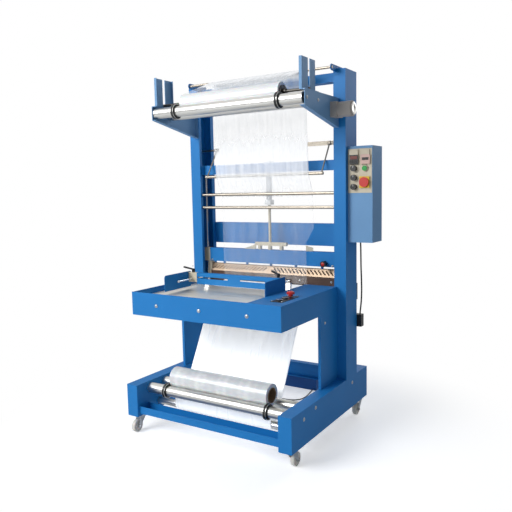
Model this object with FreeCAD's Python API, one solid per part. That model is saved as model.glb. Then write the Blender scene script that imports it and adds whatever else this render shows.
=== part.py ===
"""Sleeve sealer: two film rolls, a straight sealing jaw, a table with a pusher fence, a control box."""
import FreeCAD, Part
import math
import os

V = FreeCAD.Vector

# Driving dimensions in mm: x to the right, y back from the front of the rails, z up from the floor.

# --- sheet and clearances ---
SHEET = 3.0
SEAT = 0.3
RUNNING = 0.05
OVER = 1.0

# --- base frame ---
FRAME_WIDTH = 1000.0
RAIL_WIDTH = 70.0
RAIL_LENGTH = 905.0
RAIL_BOTTOM = 95.0
RAIL_TOP = 267.0
CASTER_PLATE = 76.0
TRAY_FRONT = 15.0
TRAY_DEPTH = 73.0
TRAY_BOTTOM = 111.0
TRAY_HEIGHT = 39.0
CROSSBAR_INSET = 5.0
CROSSBAR_DEPTH = 40.0
CROSSBAR_BOTTOM = 150.0
CROSSBAR_HEIGHT = 90.0

# --- casters ---
WHEEL_RADIUS = 34.0
WHEEL_WIDTH = 22.0
WHEEL_CHAMFER = 3.0
AXLE_RADIUS = 4.0
AXLE_END = 7.0
CASTER_TRAIL = 35.0
CASTER_INSET = 63.0
REAR_CASTER_SHIFT = 22.0
KING_PIN_RADIUS = 5.0
CROWN_RADIUS = 24.0
CROWN_HEIGHT = 12.0
CROWN_PLATE = 44.0
CROWN_PLATE_THICKNESS = 6.0
FORK_ARM = 3.0
FORK_ARM_FOOT = 18.0
FORK_CLEARANCE = 2.0

# --- columns, legs and table ---
COLUMN_WIDTH = 67.0
COLUMN_FRONT = 612.0
COLUMN_DEPTH = 144.0
COLUMN_TOP = 1886.0
COLUMN_FRONT_LIP = 21.0
COLUMN_REAR_LIP = 29.0
LEG_INSET = 15.0
LEG_DEPTH = 200.0
LEG_FLANGE = 15.0
TABLE_FRONT = 13.0
TABLE_BOTTOM = 648.0
TABLE_TOP = 768.0
TABLE_WALL = 4.0
TABLE_LEDGE = 20.0
PLATE_TOP = 737.0
PLATE_THICKNESS = 2.0
PLATE_JAW_GAP = 24.0
SHOULDER_LEFT = 262.0
WEB_EDGE_Y = 536.0
WEB_SLOT = 16.0
WEB_SLOT_MARGIN = 6.0
WEB_EDGE_RADIUS = 4.0

# --- cross beams ---
TOP_BEAM_FRONT = 640.0
TOP_BEAM_DEPTH = 60.0
TOP_BEAM_HEIGHT = 45.0
TOP_BEAM_INSET = 11.0
UPPER_BEAM_FRONT = 650.0
UPPER_BEAM_BOTTOM = 1380.0
UPPER_BEAM_HEIGHT = 54.0
MIDDLE_BEAM_BOTTOM = 967.0
MIDDLE_BEAM_HEIGHT = 125.0
MIDDLE_BEAM_DEPTH = 30.0
BEAM_END_LAP = 8.0

# --- rollers and film rolls ---
FILM_HALF = 300.0
WEB_THICKNESS = 1.0
ROLLER_RADIUS = 28.0
COLLAR_RADIUS = 39.0
COLLAR_WIDTH = 17.0
COLLAR_GAP = 4.0
STUB_RADIUS = 6.0
STUB_END = 1.0
BOTTOM_ROLL_RADIUS = 57.0
BOTTOM_ROLLER_Y = 108.5
BOTTOM_ROLLER_SPACING = 120.0
BOTTOM_ROLLER_Z = 228.0
CORE_RADIUS = 38.0
CORE_WALL = 4.0
CORE_END = 3.0
IDLER_RADIUS = 20.0
IDLER_Y = 176.0
IDLER_Z = 136.0
TOP_ROLL_RADIUS = 47.0
TOP_ROLL_BORE = 26.0
TOP_ROLLER_Y = 260.0
TOP_ROLLER_SPACING = 116.0
TOP_ROLLER_Z = 1704.0
TOP_ROLLER_GAP = 12.0
SHAFT_RADIUS = 7.5
SHAFT_END = 4.0
CHUCK_CONE = 15.0
CHUCK_CONE_TIP = 24.0
CHUCK_RADIUS = 31.0
CHUCK_FLANGE = 8.0
CHUCK_HUB_RADIUS = 14.0
CHUCK_LENGTH = 24.0

# --- film brackets and forks ---
BRACKET_INSET = 29.0
BRACKET_LEAD = 22.0
BRACKET_ABOVE = 38.0
BRACKET_NOSE = 75.0
BRACKET_HEIGHT = 149.0
BRACKET_FLANGE = 25.0
FORK_INSET = 18.0
FORK_SETBACK = 7.0
FORK_DEPTH = 138.0
FORK_HEIGHT = 148.0
FORK_SLOT = 20.0
FORK_FLANGE = 15.0
FORK_FOOT = 2.0

# --- rods, tubes and dancer ---
TOP_ROD_RADIUS = 6.5
TOP_ROD_Y = 560.0
TOP_ROD_RISE = 2.0
TOP_ROD_END = 2.0
ROD_PLATE_INSET = 14.0
ROD_PLATE_HALF = 16.0
ROD_PLATE_FOOT = 33.0
ROD_PLATE_REAR = 40.0
TUBE_RADIUS = 8.5
TUBE_Y = 630.5
TUBE_LOW_Z = 1186.0
TUBE_HIGH_Z = 1261.0
DANCER_Y = 597.0
DANCER_Z = 1365.0
DANCER_END_GAP = 53.0
DANCER_ARM_INSET = 10.0
DANCER_ARM_RADIUS = 4.0
DANCER_PIVOT_Y = 700.0
DANCER_PIVOT_Z = 1525.0
DANCER_HUB_RADIUS = 11.0
DANCER_HUB_HALF = 8.0
PIVOT_END = 10.0
STOP_BAR_LEFT = 218.0
STOP_BAR_Y = 738.0
STOP_BAR_DEPTH = 4.0
STOP_BAR_BOTTOM = 1518.0
STOP_BAR_HEIGHT = 23.0

# --- sealing jaw ---
JAW_Y = 684.0
JAW_DEPTH = 40.0
JAW_END_GAP = 18.0
JAW_TRAVEL = 200.0
SEAL_LINE = 758.0
BAND_HEIGHT = 47.0
COVER_HEIGHT = 43.0
COVER_SLOPE = 24.0
COVER_SHEET = 2.0
COVER_END_GAP = 5.0
COVER_BACK_GAP = 4.0
SLOT_COUNT = 34
SLOT_PITCH = 23.5
SLOT_WIDTH = 8.0
SLOT_LENGTH = 38.0
SLOT_ANGLE = 45.0
SLOT_MARGIN = 4.0
POST_COUNT = 5
POST_PITCH = 163.0
POST_RADIUS = 8.0
POST_SETBACK = 6.0
POST_HEIGHT = 14.0
BEAM_HEIGHT = 80.0
YOKE_LEFT = -96.0
YOKE_RIGHT = 110.0
YOKE_DEPTH = 20.0
YOKE_RISE = 23.0
YOKE_HEIGHT = 20.0
YOKE_POSTS = (-68.0, 75.0)
YOKE_POST_WIDTH = 16.0
YOKE_NUT_RADIUS = 12.0
GUSSET_THICKNESS = 4.0
GUSSET_HEIGHT = 30.0
LEFT_GUSSET_END = -180.0
RIGHT_GUSSET_START = 231.0
RIGHT_GUSSET_END = 274.0
RIGHT_GUSSET_LOW = 20.0
GUIDE_ROD_INSET = 14.0
GUIDE_ROD_RADIUS = 8.0
GUIDE_ROD_BOTTOM = 700.0
GUIDE_ROD_SPARE = 258.0
ROD_BLOCK_HEIGHT = 25.0
BEARING_WALL = 16.0
SPACER_WIDTH = 21.0
SPACER_RISE = 20.0
KNOB_X = 355.0
KNOB_RISE = 18.0
KNOB_RADIUS = 16.0
KNOB_DEPTH = 24.0
KNOB_STEM_RADIUS = 6.0
KNOB_STEM = 6.0
CYLINDER_RADIUS = 16.0
CYLINDER_LENGTH = 245.0
CYLINDER_CLEARANCE = 15.0
CYLINDER_CAP = 38.0
CYLINDER_CAP_HEIGHT = 26.0
HOLDER_WIDTH = 50.0
HOLDER_MARGIN = 5.0
PISTON_ROD_RADIUS = 8.0
PISTON_ROD_LAP = 25.0
LOWER_JAW_MARGIN = 2.0
LOWER_JAW_FOOT = 4.0
PAD_HEIGHT = 11.0
PAD_INSET = 8.0

# --- fence ---
FENCE_Y = 371.0
FENCE_DEPTH = 20.0
FENCE_LEFT = -296.0
FENCE_RIGHT = 252.0
FENCE_BOTTOM = 768.0
FENCE_HEIGHT = 64.0
FENCE_BACK_TRAVEL = 85.0
FENCE_FRONT_TRAVEL = 20.0
FENCE_SLOTS = ((5.0, 210.0), (290.0, 446.0))
FENCE_SLOT_RISE = 32.0
FENCE_SLOT_HEIGHT = 10.0
GUIDE_BOTTOM = 750.0
GUIDE_TOP = 837.0
GUIDE_CORNER = 14.0
LEFT_GUIDE_FRONT = 166.0
LEFT_GUIDE_LENGTH = 224.0
RIGHT_GUIDE_FRONT = 200.0
RIGHT_GUIDE_LENGTH = 200.0
ROD_RADIUS = 5.0
ROD_Z = 796.0
LEFT_ROD_GAP = 29.0
RIGHT_ROD_GAP = 37.0
LEFT_ROD_FRONT = 250.0
ROD_SPARE = 5.0
ROD_TIP = 6.0
ROD_FOOT_DEPTH = 18.0
ROD_FOOT_WIDTH = 24.0
ROD_FOOT_ABOVE = 12.0
BLOCK_DEPTH = 19.0
BLOCK_BOTTOM = 777.0
BLOCK_TOP = 832.0
LEFT_BLOCK_REACH = 28.0
RIGHT_BLOCK_INSIDE = 18.0
RIGHT_BLOCK_OUTSIDE = 34.0
STUD_RADIUS = 4.0
STUD_HEIGHT = 10.0
LEVER_LENGTH = 58.0
LEVER_HUB_RADIUS = 9.0
LEVER_HUB_HEIGHT = 20.0
LEVER_LIFT = 14.0
LEVER_ROOT = 9.0
LEVER_TIP = 13.0
LEVER_THICKNESS = 8.0

# --- buttons on the table's shoulder ---
BUTTON_X = 376.5
BUTTON_FRONT = 125.0
BUTTON_PITCH = 55.0
BUTTON_RADIUS = 11.0
BUTTON_HEIGHT = 6.0
BUTTON_STEM = 4.0
BUTTON_STEM_LENGTH = 16.0
BUTTON_TRAVEL = 4.0
BUTTON_PLATE_WIDTH = 63.0
BUTTON_PLATE_FRONT = 31.0
BUTTON_PLATE_REAR = 27.0
PLATE_RISE = 2.0
BUTTON_COLLAR = 3.0
BUTTON_COLLAR_HEIGHT = 6.0
STOP_RADIUS = 20.0
STOP_NECK = 10.0
STOP_HEIGHT = 14.0

# --- control box and its front ---
BOX_WIDTH = 134.0
BOX_FRONT = 640.0
BOX_DEPTH = 135.0
BOX_BOTTOM = 1003.0
BOX_HEIGHT = 494.0
BOX_WALL = 2.0
PANEL_SHEET = 2.0
PANEL_SIDE = 2.0
PANEL_WIDTH = 129.0
PANEL_BOTTOM = 1259.0
PANEL_HEIGHT = 224.0
INSTRUMENT_SIZE = 48.0
INSTRUMENT_Z = 1428.0
CONTROLLER_SIDE = 11.0
CONTROLLER_DEPTH = 8.0
COUNTER_SIDE = 74.0
COUNTER_WIDTH = 46.0
COUNTER_DEPTH = 6.0
DIAL_SIDE = 36.0
DIAL_BOTTOM = 1290.0
DIAL_PITCH = 47.0
DIAL_RADIUS = 15.0
DIAL_DEPTH = 18.0
DIAL_STEM = 3.0
STEM_LAP = 8.0
SWITCH_SIDE = 94.0
SWITCH_Z = 1313.0
SWITCH_RADIUS = 25.0
SWITCH_DEPTH = 16.0
SWITCH_PLATE_WIDTH = 57.0
SWITCH_PLATE_HEIGHT = 60.0
SWITCH_PLATE_DEPTH = 3.0
LAMP_SIDE = 95.0
LAMP_Z = 1383.0
LAMP_RADIUS = 13.0
LAMP_DEPTH = 8.0
LAMP_COLLAR = 4.0
LAMP_COLLAR_DEPTH = 6.0

# --- gear motor ---
GEAR_Y = 546.0
GEAR_Z = 1673.5
GEAR_SIZE = 74.0
GEAR_DEPTH = 35.0
MOTOR_RADIUS = 38.0
MOTOR_LENGTH = 70.0
MOTOR_END_RADIUS = 33.0
MOTOR_END = 6.0

# --- foot switch, cable, hose and air parts ---
PEDAL_LEFT = -168.0
PEDAL_WIDTH = 263.0
PEDAL_FRONT = 1068.0
PEDAL_DEPTH = 150.0
PEDAL_BODY_HEIGHT = 103.0
PEDAL_REAR_HEIGHT = 97.0
PEDAL_FACET = 26.0
PEDAL_FACET_HEIGHT = 66.0
PEDAL_REAR_FACET = 30.0
HINGE_INSET = 14.0
HINGE_RISE = 15.0
HINGE_PIN_RADIUS = 3.0
EAR_THICKNESS = 5.0
EAR_HALF = 10.0
EAR_ABOVE = 8.0
TREADLE_THICKNESS = 17.0
TREADLE_RISE = 12.0
TREADLE_SIDE_GAP = 6.0
TREADLE_FRONT = 18.0
TREADLE_BEVEL = 6.0
TREADLE_SLOPE = 4.0
CABLE_RADIUS = 3.5
CABLE_LIFT = 0.1
RELIEF_LENGTH = 24.0
RELIEF_TIP = 5.0
RELIEF_ROOT = 7.0
CABLE_EXIT_X = 80.0
CABLE_EXIT_Z = 12.0
GLAND_Y = 700.0
GLAND_Z = 118.0
GLAND_NUT_RADIUS = 9.0
GLAND_NUT = 6.0
GLAND_RADIUS = 6.5
GLAND_LENGTH = 18.0
HOSE_RADIUS = 4.0
VALVE_LEFT = 484.0
VALVE_WIDTH = 42.0
VALVE_DEPTH = 36.0
VALVE_BOTTOM = 530.0
VALVE_TOP = 597.0
VALVE_FOOT_LEFT = 470.0
VALVE_FOOT_WIDTH = 30.0
VALVE_FOOT_DEPTH = 12.0
VALVE_FOOT_BOTTOM = 680.0
VALVE_FOOT_TOP = 770.0

# --- sizes that follow from the ones above ---
HALF = FRAME_WIDTH / 2
RAIL_INNER = HALF - RAIL_WIDTH
RAIL_MIDDLE = HALF - RAIL_WIDTH / 2
COLUMN_INNER = HALF - COLUMN_WIDTH
COLUMN_REAR = COLUMN_FRONT + COLUMN_DEPTH
LEG_FACE = COLUMN_INNER + LEG_INSET
CASTER_ROWS = (CASTER_INSET, RAIL_LENGTH - CASTER_INSET + REAR_CASTER_SHIFT)
WHEEL_FRONT = CASTER_INSET - CASTER_TRAIL - WHEEL_RADIUS
ORIGIN_X = BOX_WIDTH / 2
ORIGIN_Y = (RAIL_LENGTH + WHEEL_FRONT) / 2
JAW_HALF = COLUMN_INNER - JAW_END_GAP
JAW_FRONT = JAW_Y - JAW_DEPTH / 2
JAW_REAR = JAW_Y + JAW_DEPTH / 2
PLATE_REAR = JAW_FRONT - PLATE_JAW_GAP
COVER_REACH = JAW_HALF - COVER_END_GAP
COVER_REAR = JAW_REAR - COVER_BACK_GAP
COVER_BOTTOM = SEAL_LINE + BAND_HEIGHT
COVER_TOP = COVER_BOTTOM + COVER_HEIGHT
BEAM_BOTTOM = COVER_TOP + POST_HEIGHT
BEAM_TOP = BEAM_BOTTOM + BEAM_HEIGHT
YOKE_BOTTOM = BEAM_TOP + YOKE_RISE
YOKE_TOP = YOKE_BOTTOM + YOKE_HEIGHT
GUIDE_ROD_X = COLUMN_INNER + GUIDE_ROD_INSET
GUIDE_ROD_TOP = BEAM_TOP + JAW_TRAVEL + GUIDE_ROD_SPARE
CYLINDER_BOTTOM = YOKE_TOP + JAW_TRAVEL + CYLINDER_CLEARANCE
CYLINDER_TOP = CYLINDER_BOTTOM + CYLINDER_LENGTH
UPPER_BEAM_REAR = JAW_Y - CYLINDER_CAP / 2 - SEAT
BRACKET_FACE = COLUMN_INNER + BRACKET_INSET
BRACKET_FRONT = TOP_ROLLER_Y - BRACKET_LEAD
BRACKET_TOP = TOP_ROLLER_Z + BRACKET_ABOVE
FORK_PLANE = BRACKET_FACE - FORK_INSET
FORK_FRONT = BRACKET_FRONT + FORK_SETBACK
TOP_ROD_Z = COLUMN_TOP + TOP_ROD_RISE
ROD_PLATE_X = COLUMN_INNER + ROD_PLATE_INSET
DANCER_HALF = COLUMN_INNER - DANCER_END_GAP
DANCER_ARM_X = DANCER_HALF - DANCER_ARM_INSET
LEFT_ROD_X = FENCE_LEFT - LEFT_ROD_GAP
RIGHT_ROD_X = FENCE_RIGHT - RIGHT_ROD_GAP
FENCE_REAR = FENCE_Y + FENCE_DEPTH
ROD_REAR = FENCE_REAR + BLOCK_DEPTH + FENCE_BACK_TRAVEL + ROD_SPARE + ROD_FOOT_DEPTH
BUTTON_ROWS = (BUTTON_FRONT, BUTTON_FRONT + BUTTON_PITCH)
STOP_Y = BUTTON_FRONT + 2 * BUTTON_PITCH
BUTTON_FACE = TABLE_TOP + PLATE_RISE
BUTTON_LOW = BUTTON_FACE + BUTTON_TRAVEL + SEAT
PANEL_FACE = BOX_FRONT - PANEL_SHEET
DIAL_X = HALF + DIAL_SIDE
DIALS = ((DIAL_X, DIAL_BOTTOM + 2 * DIAL_PITCH), (DIAL_X, DIAL_BOTTOM + DIAL_PITCH), (DIAL_X, DIAL_BOTTOM))
SWITCH = (HALF + SWITCH_SIDE, SWITCH_Z)
LAMP = (HALF + LAMP_SIDE, LAMP_Z)
PEDAL_RIGHT = PEDAL_LEFT + PEDAL_WIDTH
PEDAL_REAR = PEDAL_FRONT + PEDAL_DEPTH
HINGE_Y = PEDAL_REAR - HINGE_INSET
HINGE_Z = PEDAL_BODY_HEIGHT + HINGE_RISE
CABLE_START_Y = PEDAL_FRONT - RELIEF_LENGTH
FLOOR_Z = CABLE_RADIUS + CABLE_LIFT


def roll_height(spacing, roll_radius):
    """Height of a roll's axis over the axes of the two rollers that it lies on."""
    reach = roll_radius + ROLLER_RADIUS + SEAT
    return math.sqrt(reach ** 2 - (spacing / 2) ** 2)


BOTTOM_ROLL_Y = BOTTOM_ROLLER_Y + BOTTOM_ROLLER_SPACING / 2
BOTTOM_ROLL_Z = BOTTOM_ROLLER_Z + roll_height(BOTTOM_ROLLER_SPACING, BOTTOM_ROLL_RADIUS)
BOTTOM_REAR_Y = BOTTOM_ROLLER_Y + BOTTOM_ROLLER_SPACING
TOP_ROLL_Y = TOP_ROLLER_Y + TOP_ROLLER_SPACING / 2
TOP_ROLL_Z = TOP_ROLLER_Z + roll_height(TOP_ROLLER_SPACING, TOP_ROLL_RADIUS)
TOP_REAR_Y = TOP_ROLLER_Y + TOP_ROLLER_SPACING

# --- routes of the foot switch cable and the air hose, from end to end ---
CABLE_POINTS = [(CABLE_EXIT_X, CABLE_START_Y, CABLE_EXIT_Z), (83, 1003, 6.5), (87, 962, 3.9), (90, 920, FLOOR_Z),
                (84, 880, FLOOR_Z), (60, 849, FLOOR_Z), (22, 836, FLOOR_Z), (-20, 834, FLOOR_Z),
                (-64, 840, FLOOR_Z), (-110, 848, FLOOR_Z), (-158, 848, FLOOR_Z), (-203, 834, FLOOR_Z),
                (-240, 806, FLOOR_Z), (-268, 769, FLOOR_Z), (-296, 735, 6.5), (-325, 713, 18),
                (-347, 703, 42), (-360, 700, 72), (-373, 699.5, 99), (-391, 699.8, 114.5),
                (-(RAIL_INNER - GLAND_LENGTH), GLAND_Y, GLAND_Z)]
HOSE_POINTS = [(528, 742, BOX_BOTTOM), (527, 748, 970), (524, 757, 925), (521, 766, 865), (521, 772, 800),
               (521.5, 775, 730), (519, 775, 665), (514, 774, 620), (512, 774, VALVE_TOP)]


# --- small building functions ---
def box(x0, x1, y0, y1, z0, z1):
    """A box between two x, two y and two z places."""
    return Part.makeBox(x1 - x0, y1 - y0, z1 - z0, V(x0, y0, z0))


def rod_x(y, z, radius, x0, x1):
    """A round bar along x."""
    return Part.makeCylinder(radius, x1 - x0, V(x0, y, z), V(1, 0, 0))


def rod_y(x, z, radius, y0, y1):
    """A round bar along y."""
    return Part.makeCylinder(radius, y1 - y0, V(x, y0, z), V(0, 1, 0))


def rod_z(x, y, radius, z0, z1):
    """A round bar along z."""
    return Part.makeCylinder(radius, z1 - z0, V(x, y, z0), V(0, 0, 1))


def prism_x(points, x0, x1):
    """A (y, z) outline drawn out along x."""
    wire = Part.makePolygon([V(x0, y, z) for y, z in points + points[:1]])
    return Part.Face(wire).extrude(V(x1 - x0, 0, 0))


def prism_y(points, y0, y1):
    """An (x, z) outline drawn out along y."""
    wire = Part.makePolygon([V(x, y0, z) for x, z in points + points[:1]])
    return Part.Face(wire).extrude(V(0, y1 - y0, 0))


def prism_z(points, z0, z1):
    """An (x, y) outline drawn out along z."""
    wire = Part.makePolygon([V(x, y, z0) for x, y in points + points[:1]])
    return Part.Face(wire).extrude(V(0, 0, z1 - z0))


def turned_x(points, x, y, z):
    """An (along, radius) outline turned about an axis along x."""
    wire = Part.makePolygon([V(x + a, y, z + r) for a, r in points + points[:1]])
    return Part.Face(wire).revolve(V(x, y, z), V(1, 0, 0), 360)


def turned_z(points, x, y):
    """A (radius, height) outline turned about an axis along z."""
    wire = Part.makePolygon([V(x + r, y, h) for r, h in points + points[:1]])
    return Part.Face(wire).revolve(V(x, y, 0), V(0, 0, 1), 360)


def mirrored(shape):
    """The same piece on the machine's other side."""
    return shape.mirror(V(0, 0, 0), V(1, 0, 0))


def fused(first, *others):
    """Several shapes joined to one solid."""
    return first.fuse(list(others)).removeSplitter()


def save(node, *solids):
    """Write one node, moved so that the origin is under the middle of the machine."""
    shape = solids[0] if len(solids) == 1 else Part.makeCompound(list(solids))
    shape = shape.copy()
    shape.translate(V(-ORIGIN_X, -ORIGIN_Y, 0))
    shape.exportStep("parts/" + node + ".step")


# --- base, columns and beams ---
def base_rail():
    """Right base rail: a folded box, open below, with a plate for a caster at each end."""
    outer = box(RAIL_INNER, HALF, 0, RAIL_LENGTH, RAIL_BOTTOM, RAIL_TOP)
    inside = box(RAIL_INNER + SHEET, HALF - SHEET, SHEET, RAIL_LENGTH - SHEET,
                 RAIL_BOTTOM - OVER, RAIL_TOP - SHEET)
    rail = outer.cut(inside)
    for y in CASTER_ROWS:
        plate = box(RAIL_INNER + SHEET, HALF - SHEET, y - CASTER_PLATE / 2,
                    min(y + CASTER_PLATE / 2, RAIL_LENGTH - SHEET), RAIL_BOTTOM, RAIL_BOTTOM + SHEET)
        hole = rod_z(RAIL_MIDDLE, y, KING_PIN_RADIUS + RUNNING, RAIL_BOTTOM - OVER, RAIL_BOTTOM + SHEET + OVER)
        rail = rail.fuse(plate).cut(hole)
    for y, z in ((BOTTOM_ROLLER_Y, BOTTOM_ROLLER_Z), (BOTTOM_REAR_Y, BOTTOM_ROLLER_Z), (IDLER_Y, IDLER_Z)):
        rail = rail.cut(rod_x(y, z, STUB_RADIUS + RUNNING, RAIL_INNER - OVER, RAIL_INNER + SHEET + OVER))
    return rail.removeSplitter()


def base_crossbars():
    """A shallow tray across the front of the base and a channel across its back."""
    tray_rear, tray_top = TRAY_FRONT + TRAY_DEPTH, TRAY_BOTTOM + TRAY_HEIGHT
    tray = box(-RAIL_INNER, RAIL_INNER, TRAY_FRONT, tray_rear, TRAY_BOTTOM, tray_top)
    tray = tray.cut(box(-RAIL_INNER, RAIL_INNER, TRAY_FRONT + SHEET, tray_rear - SHEET,
                        TRAY_BOTTOM + SHEET, tray_top + OVER))
    back = RAIL_LENGTH - CROSSBAR_INSET
    front, top = back - CROSSBAR_DEPTH, CROSSBAR_BOTTOM + CROSSBAR_HEIGHT
    channel = box(-RAIL_INNER, RAIL_INNER, front, back, CROSSBAR_BOTTOM, top)
    channel = channel.cut(box(-RAIL_INNER, RAIL_INNER, front - OVER, back - SHEET,
                              CROSSBAR_BOTTOM + SHEET, top - SHEET))
    return tray, channel


def column():
    """Right column: a folded C section with lips, open towards the machine's middle."""
    left, right = COLUMN_INNER, HALF
    front, back = COLUMN_FRONT, COLUMN_REAR
    outline = [(left, front), (right, front), (right, back), (left, back),
               (left, back - COLUMN_REAR_LIP), (left + SHEET, back - COLUMN_REAR_LIP),
               (left + SHEET, back - SHEET), (right - SHEET, back - SHEET),
               (right - SHEET, front + SHEET), (left + SHEET, front + SHEET),
               (left + SHEET, front + COLUMN_FRONT_LIP), (left, front + COLUMN_FRONT_LIP)]
    return prism_z(outline, RAIL_TOP, COLUMN_TOP)


def leg_panel():
    """Right leg panel between the base rail and the table, with a folded front edge."""
    front = COLUMN_FRONT - LEG_DEPTH
    outline = [(LEG_FACE, front), (LEG_FACE, COLUMN_FRONT), (LEG_FACE - SHEET, COLUMN_FRONT),
               (LEG_FACE - SHEET, front + SHEET), (LEG_FACE - LEG_FLANGE, front + SHEET),
               (LEG_FACE - LEG_FLANGE, front)]
    return prism_z(outline, RAIL_TOP, TABLE_BOTTOM)


def table_tray():
    """Table body: outer walls, an inner ledge for the plate, the raised shoulder and lower flanges."""
    wall = LEG_FACE - TABLE_WALL
    front = TABLE_FRONT + TABLE_WALL
    ledge = PLATE_TOP - PLATE_THICKNESS
    shoulder_rear = WEB_EDGE_Y - WEB_SLOT
    shoulder_inside = SHOULDER_LEFT + SHEET
    body = box(-LEG_FACE, LEG_FACE, TABLE_FRONT, COLUMN_FRONT, TABLE_BOTTOM, TABLE_TOP)
    body = body.cut(box(-wall, wall, front, COLUMN_FRONT + OVER, TABLE_BOTTOM - OVER, TABLE_TOP + OVER))
    pieces = [box(-wall, wall, front, front + TABLE_LEDGE, ledge - SHEET, ledge),
              box(-wall, -wall + TABLE_LEDGE, front, COLUMN_FRONT, ledge - SHEET, ledge),
              box(SHOULDER_LEFT - TABLE_LEDGE, shoulder_inside, front, shoulder_rear, ledge - SHEET, ledge),
              box(SHOULDER_LEFT, shoulder_inside, front, shoulder_rear, ledge, TABLE_TOP),
              box(SHOULDER_LEFT, wall, front, COLUMN_FRONT, TABLE_TOP - SHEET, TABLE_TOP),
              box(-wall, wall, front, front + LEG_FLANGE, TABLE_BOTTOM, TABLE_BOTTOM + SHEET),
              box(-wall, -wall + LEG_FLANGE, front, COLUMN_FRONT, TABLE_BOTTOM, TABLE_BOTTOM + SHEET),
              box(wall - LEG_FLANGE, wall, front, COLUMN_FRONT, TABLE_BOTTOM, TABLE_BOTTOM + SHEET)]
    body = fused(body, *pieces)
    for y in BUTTON_ROWS + (STOP_Y,):
        body = body.cut(rod_z(BUTTON_X, y, BUTTON_STEM + SEAT, TABLE_TOP - SHEET - OVER, TABLE_TOP + OVER))
    return body


def table_plate():
    """Polished plate with a slot where the lower film comes up."""
    front = TABLE_FRONT + TABLE_WALL
    low = PLATE_TOP - PLATE_THICKNESS
    plate = box(-(LEG_FACE - TABLE_WALL), SHOULDER_LEFT, front, COLUMN_FRONT, low, PLATE_TOP)
    tongue = box(-COLUMN_INNER, SHOULDER_LEFT, COLUMN_FRONT - OVER, PLATE_REAR, low, PLATE_TOP)
    plate = fused(plate, tongue)
    slot_half = FILM_HALF + WEB_SLOT_MARGIN
    return plate.cut(box(-slot_half, slot_half, WEB_EDGE_Y - WEB_SLOT, WEB_EDGE_Y, low - OVER, PLATE_TOP + OVER))


def channel_beam(front, back, bottom, height):
    """A channel between the columns, open at the back, with a plate at each end on the column's lip."""
    top = bottom + height
    beam = box(-COLUMN_INNER, COLUMN_INNER, front, back, bottom, top)
    beam = beam.cut(box(-COLUMN_INNER, COLUMN_INNER, front + SHEET, back + OVER, bottom + SHEET, top - SHEET))
    lip = COLUMN_FRONT + COLUMN_FRONT_LIP - BEAM_END_LAP
    end = box(COLUMN_INNER - SHEET, COLUMN_INNER, lip, back, bottom, top)
    return fused(beam, end, mirrored(end))


def cross_beams():
    """Top, upper and middle beams between the columns, all folded channels."""
    top_bottom = COLUMN_TOP - TOP_BEAM_INSET - TOP_BEAM_HEIGHT
    top = channel_beam(TOP_BEAM_FRONT, TOP_BEAM_FRONT + TOP_BEAM_DEPTH, top_bottom, TOP_BEAM_HEIGHT)
    upper = channel_beam(UPPER_BEAM_FRONT, UPPER_BEAM_REAR, UPPER_BEAM_BOTTOM, UPPER_BEAM_HEIGHT)
    middle_top = MIDDLE_BEAM_BOTTOM + MIDDLE_BEAM_HEIGHT
    back = COLUMN_REAR + MIDDLE_BEAM_DEPTH
    middle = box(-COLUMN_INNER, COLUMN_INNER, COLUMN_REAR - SHEET, back, MIDDLE_BEAM_BOTTOM, middle_top)
    middle = middle.cut(box(-COLUMN_INNER, COLUMN_INNER, COLUMN_REAR, back + OVER,
                            MIDDLE_BEAM_BOTTOM + SHEET, middle_top - SHEET))
    return top, upper, middle


# --- film path ---
def film_bracket():
    """Right bracket plate that carries the upper rollers, with folded edges."""
    face, inside = BRACKET_FACE, BRACKET_FACE - SHEET
    nose = BRACKET_TOP - BRACKET_NOSE
    foot = BRACKET_TOP - BRACKET_HEIGHT
    outline = [(BRACKET_FRONT, BRACKET_TOP), (COLUMN_FRONT, BRACKET_TOP),
               (COLUMN_FRONT, foot), (BRACKET_FRONT, nose)]
    plate = prism_x(outline, inside, face)
    flange = face - BRACKET_FLANGE
    top = box(flange, face, BRACKET_FRONT, COLUMN_FRONT, BRACKET_TOP - SHEET, BRACKET_TOP)
    back = box(flange, face, COLUMN_FRONT - SHEET, COLUMN_FRONT, foot, BRACKET_TOP)
    low = prism_x([(BRACKET_FRONT, nose), (COLUMN_FRONT, foot), (COLUMN_FRONT, foot + SHEET),
                   (BRACKET_FRONT, nose + SHEET)], flange, face)
    bracket = fused(plate, top, back, low)
    for y in (TOP_ROLLER_Y, TOP_REAR_Y):
        bracket = bracket.cut(rod_x(y, TOP_ROLLER_Z, STUB_RADIUS + RUNNING, inside - OVER, face + OVER))
    return bracket


def film_fork():
    """Right fork: a flanged plate with an open slot that the film shaft drops into."""
    back = FORK_FRONT + FORK_DEPTH
    top = BRACKET_TOP + FORK_HEIGHT
    flange = FORK_PLANE - FORK_FLANGE
    plate = box(FORK_PLANE - SHEET, FORK_PLANE, FORK_FRONT, back, BRACKET_TOP, top)
    front_flange = box(flange, FORK_PLANE, FORK_FRONT, FORK_FRONT + SHEET, BRACKET_TOP, top)
    rear_flange = box(flange, FORK_PLANE, back - SHEET, back, BRACKET_TOP, top)
    base = box(FORK_PLANE - SHEET, BRACKET_FACE, FORK_FRONT, back, BRACKET_TOP, BRACKET_TOP + FORK_FOOT)
    fork = fused(plate, front_flange, rear_flange, base)
    slot = box(FORK_PLANE - SHEET - OVER, FORK_PLANE + OVER, TOP_ROLL_Y - FORK_SLOT / 2,
               TOP_ROLL_Y + FORK_SLOT / 2, TOP_ROLL_Z - SHAFT_RADIUS - SEAT, top + OVER)
    return fork.cut(slot)


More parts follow.
